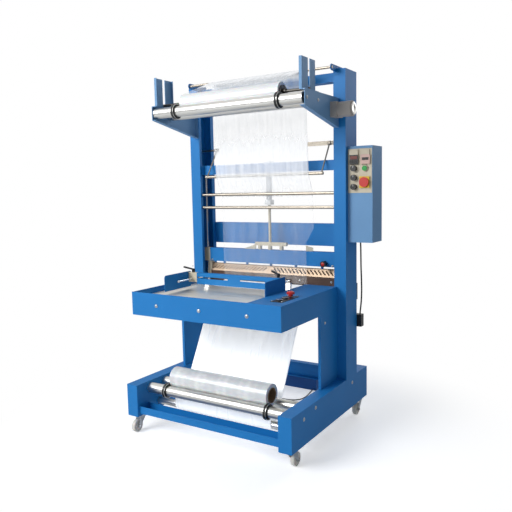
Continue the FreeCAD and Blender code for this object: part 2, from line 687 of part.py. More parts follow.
def rod_bracket():
    """Right plate that carries the top rod, rounded at its front end, on the column's top."""
    left, right = ROD_PLATE_X, ROD_PLATE_X + SHEET
    back = COLUMN_REAR - ROD_PLATE_REAR
    low, high = TOP_ROD_Z - ROD_PLATE_HALF, TOP_ROD_Z + ROD_PLATE_HALF
    plate = fused(box(left, right, TOP_ROD_Y, back, low, high),
                  rod_x(TOP_ROD_Y, TOP_ROD_Z, ROD_PLATE_HALF, left, right))
    plate = plate.cut(box(left - OVER, right + OVER, COLUMN_FRONT, back + OVER, low - OVER, COLUMN_TOP))
    foot = box(left, left + ROD_PLATE_FOOT, COLUMN_FRONT, back, COLUMN_TOP, COLUMN_TOP + SHEET)
    return fused(plate, foot).cut(rod_x(TOP_ROD_Y, TOP_ROD_Z, TOP_ROD_RADIUS, left - OVER, right + OVER))


def film_tubes():
    """The top rod, the two guide tubes between the column lips, the dancer's pivots and its stop bar."""
    reach = ROD_PLATE_X + SHEET + TOP_ROD_END
    top = rod_x(TOP_ROD_Y, TOP_ROD_Z, TOP_ROD_RADIUS, -reach, reach)
    low_tube = rod_x(TUBE_Y, TUBE_LOW_Z, TUBE_RADIUS, -COLUMN_INNER, COLUMN_INNER)
    high_tube = rod_x(TUBE_Y, TUBE_HIGH_Z, TUBE_RADIUS, -COLUMN_INNER, COLUMN_INNER)
    pin = rod_x(DANCER_PIVOT_Y, DANCER_PIVOT_Z, STUB_RADIUS, DANCER_ARM_X - PIVOT_END, HALF - SHEET)
    stop = box(STOP_BAR_LEFT, COLUMN_INNER, STOP_BAR_Y, STOP_BAR_Y + STOP_BAR_DEPTH,
               STOP_BAR_BOTTOM, STOP_BAR_BOTTOM + STOP_BAR_HEIGHT)
    return top, low_tube, high_tube, pin, mirrored(pin), stop


def dancer():
    """The dancer bar that hangs in the film from two arms, each with a hub on its pivot."""
    bar = rod_x(DANCER_Y, DANCER_Z, TUBE_RADIUS, -DANCER_HALF, DANCER_HALF)
    run = V(0, DANCER_PIVOT_Y - DANCER_Y, DANCER_PIVOT_Z - DANCER_Z)
    arm = Part.makeCylinder(DANCER_ARM_RADIUS, run.Length, V(DANCER_ARM_X, DANCER_Y, DANCER_Z), run)
    hub = rod_x(DANCER_PIVOT_Y, DANCER_PIVOT_Z, DANCER_HUB_RADIUS,
                DANCER_ARM_X - DANCER_HUB_HALF, DANCER_ARM_X + DANCER_HUB_HALF)
    whole = fused(bar, arm, hub, mirrored(arm), mirrored(hub))
    return whole.cut(rod_x(DANCER_PIVOT_Y, DANCER_PIVOT_Z, STUB_RADIUS + RUNNING, -HALF, HALF))


def roller(y, z, radius, face, stub_end, collars):
    """A roller with a stub in each side plate, and two stop collars where the film's edges run."""
    body = fused(rod_x(y, z, radius, -face, face), rod_x(y, z, STUB_RADIUS, -stub_end, stub_end))
    if not collars:
        return [body]
    start = FILM_HALF + COLLAR_GAP
    ring = rod_x(y, z, COLLAR_RADIUS, start, start + COLLAR_WIDTH)
    ring = ring.cut(rod_x(y, z, radius, start - OVER, start + COLLAR_WIDTH + OVER))
    return [body, ring, mirrored(ring)]


def film_shaft():
    """The shaft of the upper film roll with its two chucks, each a cone, a flange and a hub."""
    reach = FORK_PLANE + SHAFT_END
    shaft = rod_x(TOP_ROLL_Y, TOP_ROLL_Z, SHAFT_RADIUS, -reach, reach)
    root = TOP_ROLL_BORE - SEAT
    outline = [(-CHUCK_CONE, 0), (-CHUCK_CONE, CHUCK_CONE_TIP), (0, root), (0, CHUCK_RADIUS),
               (CHUCK_FLANGE, CHUCK_RADIUS), (CHUCK_FLANGE, CHUCK_HUB_RADIUS),
               (CHUCK_LENGTH, CHUCK_HUB_RADIUS), (CHUCK_LENGTH, 0)]
    chuck = turned_x(outline, FILM_HALF, TOP_ROLL_Y, TOP_ROLL_Z)
    return fused(shaft, chuck, mirrored(chuck))


def film_roll(y, z, radius, bore):
    """A film roll with its open core."""
    roll = rod_x(y, z, radius, -FILM_HALF, FILM_HALF)
    return roll.cut(rod_x(y, z, bore, -FILM_HALF - OVER, FILM_HALF + OVER))


def core():
    """The cardboard tube that the lower film is wound on."""
    reach = FILM_HALF + CORE_END
    tube = rod_x(BOTTOM_ROLL_Y, BOTTOM_ROLL_Z, CORE_RADIUS, -reach, reach)
    return tube.cut(rod_x(BOTTOM_ROLL_Y, BOTTOM_ROLL_Z, CORE_RADIUS - CORE_WALL, -reach - OVER, reach + OVER))


def heading(first, second):
    """Direction of the straight run that touches two turning circles (y, z, radius, side)."""
    dy, dz = second[0] - first[0], second[1] - first[1]
    shift = second[3] * second[2] - first[3] * first[2]
    return math.atan2(dz, dy) - math.asin(shift / math.hypot(dy, dz))


def touch(circle, angle):
    """Where a run with this direction touches a turning circle."""
    y, z, radius, side = circle
    return V(0, y + side * radius * math.sin(angle), z - side * radius * math.cos(angle))


def web_edges(turns, offset):
    """Edges of one surface of a film that passes round the turning circles."""
    grown = []
    for y, z, radius, side in turns:
        extra = offset if side > 0 else WEB_THICKNESS - offset
        grown.append((y, z, radius + extra, side))
    angles = [heading(a, b) for a, b in zip(grown, grown[1:])]
    edges = []
    for i, angle in enumerate(angles):
        start, end = touch(grown[i], angle), touch(grown[i + 1], angle)
        if i > 0:
            turn = (angle - angles[i - 1] + math.pi) % (2 * math.pi) - math.pi
            middle = touch(grown[i], angles[i - 1] + turn / 2)
            edges.append(Part.Arc(touch(grown[i], angles[i - 1]), middle, start).toShape())
        edges.append(Part.LineSegment(start, end).toShape())
    return edges


def film_web(turns):
    """A film sheet, as wide as its roll, that passes round the turning circles."""
    near, far = web_edges(turns, 0.0), web_edges(turns, WEB_THICKNESS)
    starts = [near[0].firstVertex(True).Point, far[0].firstVertex(True).Point]
    ends = [near[-1].lastVertex(True).Point, far[-1].lastVertex(True).Point]
    caps = [Part.LineSegment(*starts).toShape(), Part.LineSegment(*ends).toShape()]
    face = Part.Face(Part.Wire(Part.__sortEdges__(near + far + caps)))
    face.translate(V(-FILM_HALF, 0, 0))
    return face.extrude(V(2 * FILM_HALF, 0, 0))


def upper_web():
    """Film from the top roll over the top rod, under the dancer bar, over a tube and down to the jaw."""
    return film_web([(TOP_ROLL_Y, TOP_ROLL_Z, TOP_ROLL_RADIUS + SEAT, -1),
                     (TOP_ROD_Y, TOP_ROD_Z, TOP_ROD_RADIUS + SEAT, -1),
                     (DANCER_Y, DANCER_Z, TUBE_RADIUS + SEAT, 1),
                     (TUBE_Y, TUBE_HIGH_Z, TUBE_RADIUS + SEAT, -1),
                     (JAW_FRONT - 4 * SHEET, SEAL_LINE + WEB_THICKNESS, 0, 1)])


def lower_web():
    """Film from the bottom roll round the idler and the rear roller, up through the table's slot to the jaw."""
    return film_web([(BOTTOM_ROLL_Y - 4 * SHEET, BOTTOM_ROLLER_Z, 0, 1),
                     (IDLER_Y, IDLER_Z, IDLER_RADIUS + SEAT, 1),
                     (BOTTOM_REAR_Y, BOTTOM_ROLLER_Z, ROLLER_RADIUS + SEAT, 1),
                     (WEB_EDGE_Y, PLATE_TOP - WEB_EDGE_RADIUS, WEB_EDGE_RADIUS + SEAT, -1),
                     (JAW_FRONT - 4 * SHEET, SEAL_LINE - 2 * WEB_THICKNESS, 0, 1)])


# --- sealing jaw ---
def jaw_beam():
    """The moving beam: a box tube with the posts that carry the sealing bar."""
    beam = box(-JAW_HALF, JAW_HALF, JAW_FRONT, JAW_REAR, BEAM_BOTTOM, BEAM_TOP)
    beam = beam.cut(box(-JAW_HALF - OVER, JAW_HALF + OVER, JAW_FRONT + SHEET, JAW_REAR - SHEET,
                        BEAM_BOTTOM + SHEET, BEAM_TOP - SHEET))
    posts = []
    for i in range(POST_COUNT):
        x = (i - (POST_COUNT - 1) / 2) * POST_PITCH
        posts.append(rod_z(x, JAW_Y + POST_SETBACK, POST_RADIUS, COVER_TOP, BEAM_BOTTOM))
    return fused(beam, *posts)


def herringbone_slot(x, angle):
    """One slanted slot with tapered ends through the cover's sloping front, centred at x."""
    end, side = SLOT_LENGTH / 2, SLOT_WIDTH / 2
    shoulder, tip = end - side, side / 2
    outline = [(-end, -tip), (-shoulder, -side), (shoulder, -side), (end, -tip),
               (end, tip), (shoulder, side), (-shoulder, side), (-end, tip)]
    slot = prism_y(outline, -COVER_SLOPE, COVER_SLOPE)
    slot.rotate(V(0, 0, 0), V(0, 1, 0), angle)
    tilt = math.degrees(math.atan2(COVER_SLOPE, COVER_HEIGHT))
    slot.rotate(V(0, 0, 0), V(1, 0, 0), -tilt)
    slot.translate(V(x, JAW_FRONT + COVER_SLOPE / 2, COVER_BOTTOM + COVER_HEIGHT / 2))
    return slot


def jaw_cover():
    """Folded heat guard over the sealing bar, with slots in a herringbone to both sides of the middle."""
    fold = JAW_FRONT + COVER_SLOPE
    inside_rear = COVER_REAR - COVER_SHEET
    ceiling = COVER_TOP - COVER_SHEET
    across = COVER_SHEET * math.hypot(COVER_SLOPE, COVER_HEIGHT) / COVER_HEIGHT
    outer = [(JAW_FRONT, COVER_BOTTOM), (fold, COVER_TOP), (COVER_REAR, COVER_TOP), (COVER_REAR, COVER_BOTTOM)]
    inner = [(JAW_FRONT + across, COVER_BOTTOM - OVER), (fold, ceiling),
             (inside_rear, ceiling), (inside_rear, COVER_BOTTOM - OVER)]
    cover = prism_x(outer, -COVER_REACH, COVER_REACH)
    cover = cover.cut(prism_x(inner, -COVER_REACH - OVER, COVER_REACH + OVER))
    slope_only = box(-COVER_REACH, COVER_REACH, JAW_FRONT - COVER_SLOPE, fold,
                     COVER_BOTTOM, COVER_TOP - SLOT_MARGIN)
    slots = []
    for i in range(SLOT_COUNT):
        x = (i - (SLOT_COUNT - 1) / 2) * SLOT_PITCH
        slots.append(herringbone_slot(x, -SLOT_ANGLE if x < 0 else SLOT_ANGLE))
    return cover.cut(Part.makeCompound(slots).common(slope_only))


def jaw_band():
    """The sealing bar in its coated band."""
    return box(-COVER_REACH, COVER_REACH, JAW_FRONT, COVER_REAR, SEAL_LINE, COVER_BOTTOM)


def jaw_yoke():
    """The yoke on the beam that the piston rod pulls, with a gusset to each side, and the piston rod."""
    front, back = JAW_Y - YOKE_DEPTH / 2, JAW_Y + YOKE_DEPTH / 2
    bar = box(YOKE_LEFT, YOKE_RIGHT, front, back, YOKE_BOTTOM, YOKE_TOP)
    posts = [rod_z(0, JAW_Y, YOKE_NUT_RADIUS, BEAM_TOP, YOKE_BOTTOM)]
    for x in YOKE_POSTS:
        posts.append(box(x - YOKE_POST_WIDTH / 2, x + YOKE_POST_WIDTH / 2, front, back, BEAM_TOP, YOKE_BOTTOM))
    yoke = fused(bar, *posts)
    plate_front, plate_back = JAW_Y - GUSSET_THICKNESS / 2, JAW_Y + GUSSET_THICKNESS / 2
    high = BEAM_TOP + GUSSET_HEIGHT
    left = prism_y([(LEFT_GUSSET_END, BEAM_TOP), (YOKE_LEFT, BEAM_TOP), (YOKE_LEFT, high)], plate_front, plate_back)
    right = prism_y([(RIGHT_GUSSET_START, BEAM_TOP), (RIGHT_GUSSET_END, BEAM_TOP),
                     (RIGHT_GUSSET_END, BEAM_TOP + RIGHT_GUSSET_LOW), (RIGHT_GUSSET_START, high)],
                    plate_front, plate_back)
    rod = rod_z(0, JAW_Y, PISTON_ROD_RADIUS, YOKE_TOP, CYLINDER_BOTTOM + PISTON_ROD_LAP)
    return yoke, left, right, rod


def jaw_bearing():
    """Right bearing block: it bolts to the beam's end and runs on the guide rod inside the column."""
    block = box(JAW_HALF, GUIDE_ROD_X + BEARING_WALL, JAW_FRONT, JAW_REAR, BEAM_BOTTOM, BEAM_TOP)
    bore = rod_z(GUIDE_ROD_X, JAW_Y, GUIDE_ROD_RADIUS + RUNNING, BEAM_BOTTOM - OVER, BEAM_TOP + OVER)
    return block.cut(bore)


def jaw_spacer():
    """Block between the beam and the sealing bar at the left end."""
    left = -JAW_HALF - BEARING_WALL
    return box(left, left + SPACER_WIDTH, JAW_FRONT + COVER_BACK_GAP, COVER_REAR, SEAL_LINE + SPACER_RISE, BEAM_BOTTOM)


def jaw_knob():
    """Black clamping knob on the beam's front at the right."""
    z = BEAM_BOTTOM + KNOB_RISE
    neck = JAW_FRONT - KNOB_STEM
    grip = rod_y(KNOB_X, z, KNOB_RADIUS, neck - KNOB_DEPTH, neck)
    return fused(grip, rod_y(KNOB_X, z, KNOB_STEM_RADIUS, neck, JAW_FRONT))


def guide_rods():
    """The two rods of the jaw and the blocks that hold their ends inside the columns."""
    solids = [rod_z(GUIDE_ROD_X, JAW_Y, GUIDE_ROD_RADIUS, GUIDE_ROD_BOTTOM, GUIDE_ROD_TOP)]
    for z in (GUIDE_ROD_BOTTOM, GUIDE_ROD_TOP - ROD_BLOCK_HEIGHT):
        block = box(COLUMN_INNER + SHEET, HALF - SHEET, JAW_FRONT, JAW_REAR, z, z + ROD_BLOCK_HEIGHT)
        bore = rod_z(GUIDE_ROD_X, JAW_Y, GUIDE_ROD_RADIUS, z - OVER, z + ROD_BLOCK_HEIGHT + OVER)
        solids.append(block.cut(bore))
    return solids + [mirrored(s) for s in solids]


def cylinder():
    """Air cylinder behind the upper beam, with end caps and a bracket to the beam."""
    half = CYLINDER_CAP / 2
    barrel = rod_z(0, JAW_Y, CYLINDER_RADIUS, CYLINDER_BOTTOM, CYLINDER_TOP)
    caps = []
    for z in (CYLINDER_BOTTOM, CYLINDER_TOP - CYLINDER_CAP_HEIGHT):
        caps.append(box(-half, half, JAW_Y - half, JAW_Y + half, z, z + CYLINDER_CAP_HEIGHT))
    holder = box(-HOLDER_WIDTH / 2, HOLDER_WIDTH / 2, UPPER_BEAM_FRONT + SHEET, JAW_Y - CYLINDER_RADIUS / 2,
                 UPPER_BEAM_BOTTOM + HOLDER_MARGIN, UPPER_BEAM_BOTTOM + UPPER_BEAM_HEIGHT - HOLDER_MARGIN)
    body = fused(barrel, holder, *caps)
    return body.cut(rod_z(0, JAW_Y, PISTON_ROD_RADIUS + RUNNING, CYLINDER_BOTTOM - OVER,
                          CYLINDER_TOP - CYLINDER_CAP_HEIGHT / 2))


def lower_jaw():
    """Fixed lower jaw between the columns and its soft sealing strip."""
    top = SEAL_LINE - SEAT
    bar_top = top - PAD_HEIGHT
    reach = JAW_HALF - COVER_END_GAP
    front, back = JAW_FRONT - LOWER_JAW_MARGIN, JAW_REAR + LOWER_JAW_MARGIN
    pad = box(-reach, reach, JAW_FRONT + PAD_INSET, JAW_REAR - PAD_INSET, bar_top, top)
    bar = box(-COLUMN_INNER, COLUMN_INNER, front, back, GUIDE_ROD_BOTTOM, bar_top)
    foot = box(COLUMN_INNER - LOWER_JAW_FOOT, COLUMN_INNER, front, COLUMN_REAR, GUIDE_ROD_BOTTOM, bar_top)
    return fused(bar, foot, mirrored(foot)), pad


# --- fence ---
def guide_plate(x, front, length):
    """A guide plate at one end of the fence, rounded at its front top corner."""
    plate = box(x, x + SHEET, front, front + length, GUIDE_BOTTOM, GUIDE_TOP)
    rounding = rod_x(front + GUIDE_CORNER, GUIDE_TOP - GUIDE_CORNER, GUIDE_CORNER, x, x + SHEET)
    corner = box(x, x + SHEET, front, front + GUIDE_CORNER, GUIDE_TOP - GUIDE_CORNER, GUIDE_TOP)
    return plate.cut(corner.cut(rounding))


def fence():
    """The sliding fence: a slotted channel across the table and a guide plate at each end."""
    top = FENCE_BOTTOM + FENCE_HEIGHT
    inside = FENCE_Y + SHEET
    outline = [(FENCE_Y, FENCE_BOTTOM), (FENCE_REAR, FENCE_BOTTOM), (FENCE_REAR, FENCE_BOTTOM + SHEET),
               (inside, FENCE_BOTTOM + SHEET), (inside, top - SHEET), (FENCE_REAR, top - SHEET),
               (FENCE_REAR, top), (FENCE_Y, top)]
    channel = prism_x(outline, FENCE_LEFT, FENCE_RIGHT)
    slot_low = FENCE_BOTTOM + FENCE_SLOT_RISE
    for start, end in FENCE_SLOTS:
        channel = channel.cut(box(FENCE_LEFT + start, FENCE_LEFT + end, FENCE_Y - OVER, inside + OVER,
                                  slot_low, slot_low + FENCE_SLOT_HEIGHT))
    channel = channel.cut(rod_y(RIGHT_ROD_X, ROD_Z, ROD_RADIUS + OVER, FENCE_Y - OVER, inside + OVER))
    left = guide_plate(LEFT_ROD_X - LEFT_BLOCK_REACH - SHEET, LEFT_GUIDE_FRONT, LEFT_GUIDE_LENGTH)
    right = guide_plate(FENCE_RIGHT, RIGHT_GUIDE_FRONT, RIGHT_GUIDE_LENGTH)
    return channel, left, right


def fence_block(x, y0, x0, x1):
    """A block that runs on a fence rod, with the screw stud that the lever turns on."""
    body = box(x0, x1, y0, y0 + BLOCK_DEPTH, BLOCK_BOTTOM, BLOCK_TOP)
    body = body.cut(rod_y(x, ROD_Z, ROD_RADIUS + RUNNING, y0 - OVER, y0 + BLOCK_DEPTH + OVER))
    return fused(body, rod_z(x, y0 + BLOCK_DEPTH / 2, STUD_RADIUS, BLOCK_TOP, BLOCK_TOP + STUD_HEIGHT))


def lever(x, y, angle):
    """Ratchet lever on a fence block: a round hub and a flat arm that rises and widens to its tip."""
    low = BLOCK_TOP + SEAT
    high = BLOCK_TOP + LEVER_HUB_HEIGHT
    hub = rod_z(x, y, LEVER_HUB_RADIUS, low, high)
    root, tip = LEVER_ROOT / 2, LEVER_TIP / 2
    outline = [(x, y - root), (x + LEVER_LENGTH - tip, y - tip), (x + LEVER_LENGTH, y - root / 2),
               (x + LEVER_LENGTH, y + root / 2), (x + LEVER_LENGTH - tip, y + tip), (x, y + root)]
    arm = prism_z(outline, high - LEVER_THICKNESS, high)
    arm.rotate(V(x, y, high), V(0, 1, 0), -math.degrees(math.atan2(LEVER_LIFT, LEVER_LENGTH)))
    body = fused(hub, arm)
    body.rotate(V(x, y, 0), V(0, 0, 1), angle)
    return body.cut(rod_z(x, y, STUD_RADIUS + RUNNING, low - OVER, BLOCK_TOP + STUD_HEIGHT + SEAT))


def fence_rods():
    """The two rods that the fence slides on and the feet that hold them at the back."""
    solids = []
    right_front = FENCE_REAR - FENCE_FRONT_TRAVEL - ROD_TIP
    for x, front in ((LEFT_ROD_X, LEFT_ROD_FRONT), (RIGHT_ROD_X, right_front)):
        solids.append(rod_y(x, ROD_Z, ROD_RADIUS, front, ROD_REAR))
        foot = box(x - ROD_FOOT_WIDTH / 2, x + ROD_FOOT_WIDTH / 2, ROD_REAR - ROD_FOOT_DEPTH, ROD_REAR,
                   PLATE_TOP, ROD_Z + ROD_FOOT_ABOVE)
        bore = rod_y(x, ROD_Z, ROD_RADIUS, ROD_REAR - ROD_FOOT_DEPTH - OVER, ROD_REAR + OVER)
        solids.append(foot.cut(bore))
    return solids


# --- controls ---
def button_plate():
    """Black plate on the shoulder with a collar round each button."""
    half = BUTTON_PLATE_WIDTH / 2
    plate = box(BUTTON_X - half, BUTTON_X + half, BUTTON_FRONT - BUTTON_PLATE_FRONT, STOP_Y + BUTTON_PLATE_REAR,
                TABLE_TOP, BUTTON_FACE)
    rings = []
    for y in BUTTON_ROWS:
        ring = rod_z(BUTTON_X, y, BUTTON_RADIUS + BUTTON_COLLAR, BUTTON_FACE, BUTTON_FACE + BUTTON_COLLAR_HEIGHT)
        bore = rod_z(BUTTON_X, y, BUTTON_RADIUS + SEAT, BUTTON_FACE, BUTTON_FACE + BUTTON_COLLAR_HEIGHT + OVER)
        rings.append(ring.cut(bore))
    plate = fused(plate, *rings)
    for y in BUTTON_ROWS + (STOP_Y,):
        plate = plate.cut(rod_z(BUTTON_X, y, BUTTON_STEM + SEAT, TABLE_TOP - OVER, BUTTON_FACE + OVER))
    return plate


def push_button(y):
    """Round push button in its collar, on a stem through the shoulder."""
    head = rod_z(BUTTON_X, y, BUTTON_RADIUS, BUTTON_LOW, BUTTON_LOW + BUTTON_HEIGHT)
    return fused(head, rod_z(BUTTON_X, y, BUTTON_STEM, BUTTON_LOW - BUTTON_STEM_LENGTH, BUTTON_LOW))


def emergency_stop():
    """Mushroom button with a bevelled head, on its neck and stem."""
    low = BUTTON_LOW + STOP_NECK
    high = low + STOP_HEIGHT
    outline = [(0, BUTTON_LOW - BUTTON_STEM_LENGTH), (BUTTON_STEM, BUTTON_LOW - BUTTON_STEM_LENGTH),
               (BUTTON_STEM, BUTTON_LOW), (BUTTON_RADIUS, BUTTON_LOW), (BUTTON_RADIUS, low),
               (STOP_RADIUS, low), (STOP_RADIUS, low + STOP_HEIGHT * 0.5),
               (STOP_RADIUS * 0.85, low + STOP_HEIGHT * 0.8), (STOP_RADIUS * 0.5, high), (0, high)]
    return turned_z(outline, BUTTON_X, STOP_Y)


def stem_holes(plate, places, radius, y0, y1):
    """The same plate with a round hole along y at each (x, z) place."""
    for x, z in places:
        plate = plate.cut(rod_y(x, z, radius, y0, y1))
    return plate


def control_box():
    """Sheet box on the right column's side, closed all round."""
    x0, x1 = HALF, HALF + BOX_WIDTH
    back, top = BOX_FRONT + BOX_DEPTH, BOX_BOTTOM + BOX_HEIGHT
    body = box(x0, x1, BOX_FRONT, back, BOX_BOTTOM, top)
    body = body.cut(box(x0 + BOX_WALL, x1 - BOX_WALL, BOX_FRONT + BOX_WALL, back - BOX_WALL,
                        BOX_BOTTOM + BOX_WALL, top - BOX_WALL))
    return stem_holes(body, DIALS + (SWITCH, LAMP), DIAL_STEM + RUNNING, BOX_FRONT - OVER, BOX_FRONT + BOX_WALL + OVER)


def control_panel():
    """Front plate of the control box, its two instruments, the switch plate and the lamp collar."""
    left = HALF + PANEL_SIDE
    plate = box(left, left + PANEL_WIDTH, PANEL_FACE, BOX_FRONT, PANEL_BOTTOM, PANEL_BOTTOM + PANEL_HEIGHT)
    plate = stem_holes(plate, DIALS + (SWITCH, LAMP), DIAL_STEM + RUNNING, PANEL_FACE - OVER, BOX_FRONT + OVER)
    x0, x1 = HALF + CONTROLLER_SIDE, HALF + COUNTER_SIDE
    top = INSTRUMENT_Z + INSTRUMENT_SIZE
    controller = box(x0, x0 + INSTRUMENT_SIZE, PANEL_FACE - CONTROLLER_DEPTH, PANEL_FACE, INSTRUMENT_Z, top)
    counter = box(x1, x1 + COUNTER_WIDTH, PANEL_FACE - COUNTER_DEPTH, PANEL_FACE, INSTRUMENT_Z, top)
    half_x, half_z = SWITCH_PLATE_WIDTH / 2, SWITCH_PLATE_HEIGHT / 2
    switch = box(SWITCH[0] - half_x, SWITCH[0] + half_x, PANEL_FACE - SWITCH_PLATE_DEPTH, PANEL_FACE,
                 SWITCH[1] - half_z, SWITCH[1] + half_z)
    switch = stem_holes(switch, (SWITCH,), DIAL_STEM + RUNNING, PANEL_FACE - SWITCH_PLATE_DEPTH - OVER, BOX_FRONT)
    collar = rod_y(LAMP[0], LAMP[1], LAMP_RADIUS + LAMP_COLLAR, PANEL_FACE - LAMP_COLLAR_DEPTH, PANEL_FACE)
    collar = stem_holes(collar, (LAMP,), LAMP_RADIUS + SEAT, PANEL_FACE - LAMP_COLLAR_DEPTH - OVER, BOX_FRONT)
    return plate, controller, counter, switch, collar


def dial(place, radius, gap, depth):
    """A round knob that stands off its plate by a gap, on a stem through it."""
    x, z = place
    back = PANEL_FACE - gap
    return fused(rod_y(x, z, radius, back - depth, back), rod_y(x, z, DIAL_STEM, back, BOX_FRONT + STEM_LAP))


def gear_motor():
    """Square gearbox on the right film bracket with its round motor."""
    half = GEAR_SIZE / 2
    start = BRACKET_FACE + GEAR_DEPTH
    gearbox = box(BRACKET_FACE, start, GEAR_Y - half, GEAR_Y + half, GEAR_Z - half, GEAR_Z + half)
    motor = rod_x(GEAR_Y, GEAR_Z, MOTOR_RADIUS, start, start + MOTOR_LENGTH)
    end = rod_x(GEAR_Y, GEAR_Z, MOTOR_END_RADIUS, start + MOTOR_LENGTH, start + MOTOR_LENGTH + MOTOR_END)
    return gearbox, fused(motor, end)


# --- casters ---
def caster_fork(x, y, side):
    """Swivelling fork with its king pin and the axle that the wheel turns on."""
    axle_y = y + side * CASTER_TRAIL
    top = RAIL_BOTTOM - SEAT
    under = top - CROWN_HEIGHT
    inner = WHEEL_WIDTH / 2 + FORK_CLEARANCE
    half, foot = CROWN_PLATE / 2, FORK_ARM_FOOT / 2
    crown = rod_z(x, y, CROWN_RADIUS, under, top)
    pin = rod_z(x, y, KING_PIN_RADIUS, top, RAIL_BOTTOM + SHEET + FORK_CLEARANCE)
    plate = box(x - inner - FORK_ARM, x + inner + FORK_ARM, y - half, y + half, under - CROWN_PLATE_THICKNESS, under)
    outline = [(y - half, under), (y + half, under), (axle_y + foot, WHEEL_RADIUS - foot),
               (axle_y - foot, WHEEL_RADIUS - foot)]
    right = prism_x(outline, x + inner, x + inner + FORK_ARM)
    left = prism_x(outline, x - inner - FORK_ARM, x - inner)
    reach = WHEEL_WIDTH / 2 + AXLE_END
    axle = rod_x(axle_y, WHEEL_RADIUS, AXLE_RADIUS, x - reach, x + reach)
    return fused(crown, pin, plate, axle, right, left)


def caster_wheel(x, y, side):
    """Wheel with a bevelled tread and a bore for the axle."""
    half, bore = WHEEL_WIDTH / 2, AXLE_RADIUS + RUNNING
    outline = [(-half, bore), (-half, WHEEL_RADIUS - WHEEL_CHAMFER), (WHEEL_CHAMFER - half, WHEEL_RADIUS),
               (half - WHEEL_CHAMFER, WHEEL_RADIUS), (half, WHEEL_RADIUS - WHEEL_CHAMFER), (half, bore)]
    return turned_x(outline, x, y + side * CASTER_TRAIL, WHEEL_RADIUS)


# --- foot switch, cable, hose ---
def pedal_base():
    """Foot switch housing with sloping facets, and an ear with a hinge pin at each end."""
    outline = [(PEDAL_FRONT, 0), (PEDAL_REAR, 0), (PEDAL_REAR, PEDAL_REAR_HEIGHT),
               (PEDAL_REAR - PEDAL_REAR_FACET, PEDAL_BODY_HEIGHT), (PEDAL_FRONT + PEDAL_FACET, PEDAL_BODY_HEIGHT),
               (PEDAL_FRONT, PEDAL_FACET_HEIGHT)]
    body = prism_x(outline, PEDAL_LEFT, PEDAL_RIGHT)
    ears = []
    for x0 in (PEDAL_LEFT, PEDAL_RIGHT - EAR_THICKNESS):
        ears.append(box(x0, x0 + EAR_THICKNESS, HINGE_Y - EAR_HALF, HINGE_Y + EAR_HALF,
                        PEDAL_BODY_HEIGHT - EAR_ABOVE, HINGE_Z + EAR_ABOVE))
    pin = rod_x(HINGE_Y, HINGE_Z, HINGE_PIN_RADIUS, PEDAL_LEFT, PEDAL_RIGHT)
    return fused(body, pin, *ears)


def treadle():
    """Pressed plate over the housing, hinged at the back."""
    x0, x1 = PEDAL_LEFT + TREADLE_SIDE_GAP, PEDAL_RIGHT - TREADLE_SIDE_GAP
    low = PEDAL_BODY_HEIGHT + TREADLE_RISE
    high = low + TREADLE_THICKNESS
    back = HINGE_Y + EAR_ABOVE
    front = PEDAL_FRONT + TREADLE_FRONT
    outline = [(front, low), (back, low - TREADLE_SLOPE), (back, high - TREADLE_BEVEL),
               (front + TREADLE_BEVEL, high)]
    hollow = box(x0 + SHEET, x1 - SHEET, front + EAR_ABOVE, HINGE_Y - EAR_HALF, low - TREADLE_BEVEL,
                 high - TREADLE_BEVEL)
    body = prism_x(outline, x0, x1).cut(hollow)
    return body.cut(rod_x(HINGE_Y, HINGE_Z, HINGE_PIN_RADIUS + RUNNING, x0 - OVER, x1 + OVER))


def cord(points, radius):
    """A cord's tube: straight runs joined by tangent arcs as large as the runs allow."""
    points = [V(*p) for p in points]
    edges = []
    radii = []
    start = points[0]
    for before, corner, after in zip(points, points[1:], points[2:]):
        a, b = before - corner, after - corner
        turn = math.pi - a.getAngle(b)
        back = 0.45 * min(a.Length, b.Length)
        arc_radius = back / math.tan(turn / 2)
        radii.append(arc_radius)
        a.normalize()
        b.normalize()
        enter, leave = corner + a * back, corner + b * back
        inward = (a + b).normalize()
        middle = corner + inward * (arc_radius / math.cos(turn / 2) - arc_radius)
        edges.append(Part.LineSegment(start, enter).toShape())
        edges.append(Part.Arc(enter, middle, leave).toShape())
        start = leave
    edges.append(Part.LineSegment(start, points[-1]).toShape())
    wire = Part.Wire(edges)
    ring = Part.Wire(Part.Circle(points[0], points[1] - points[0], radius).toShape())
    tube = wire.makePipeShell([ring], True, False)
    volume = math.pi * radius ** 2 * wire.Length
    print("cord length %.0f smallest radius %.0f volume ratio %.4f" % (wire.Length, min(radii), tube.Volume / volume))
    return tube


def rail_gland():
    """Cable gland in the left rail: a nut against the rail and a sleeve round the cable."""
    nut = rod_x(GLAND_Y, GLAND_Z, GLAND_NUT_RADIUS, -RAIL_INNER, -RAIL_INNER + GLAND_NUT)
    sleeve = rod_x(GLAND_Y, GLAND_Z, GLAND_RADIUS, -RAIL_INNER + GLAND_NUT, -RAIL_INNER + GLAND_LENGTH)
    return fused(nut, sleeve)


def strain_relief():
    """Tapered strain relief where the cable leaves the foot switch."""
    return Part.makeCone(RELIEF_TIP, RELIEF_ROOT, RELIEF_LENGTH, V(CABLE_EXIT_X, CABLE_START_Y, CABLE_EXIT_Z),
                         V(0, 1, 0))


def valve_block():
    """Air valve and its upper bracket on the back of the right column."""
    body = box(VALVE_LEFT, VALVE_LEFT + VALVE_WIDTH, COLUMN_REAR, COLUMN_REAR + VALVE_DEPTH, VALVE_BOTTOM, VALVE_TOP)
    foot = box(VALVE_FOOT_LEFT, VALVE_FOOT_LEFT + VALVE_FOOT_WIDTH, COLUMN_REAR, COLUMN_REAR + VALVE_FOOT_DEPTH,
               VALVE_FOOT_BOTTOM, VALVE_FOOT_TOP)
    return body, foot


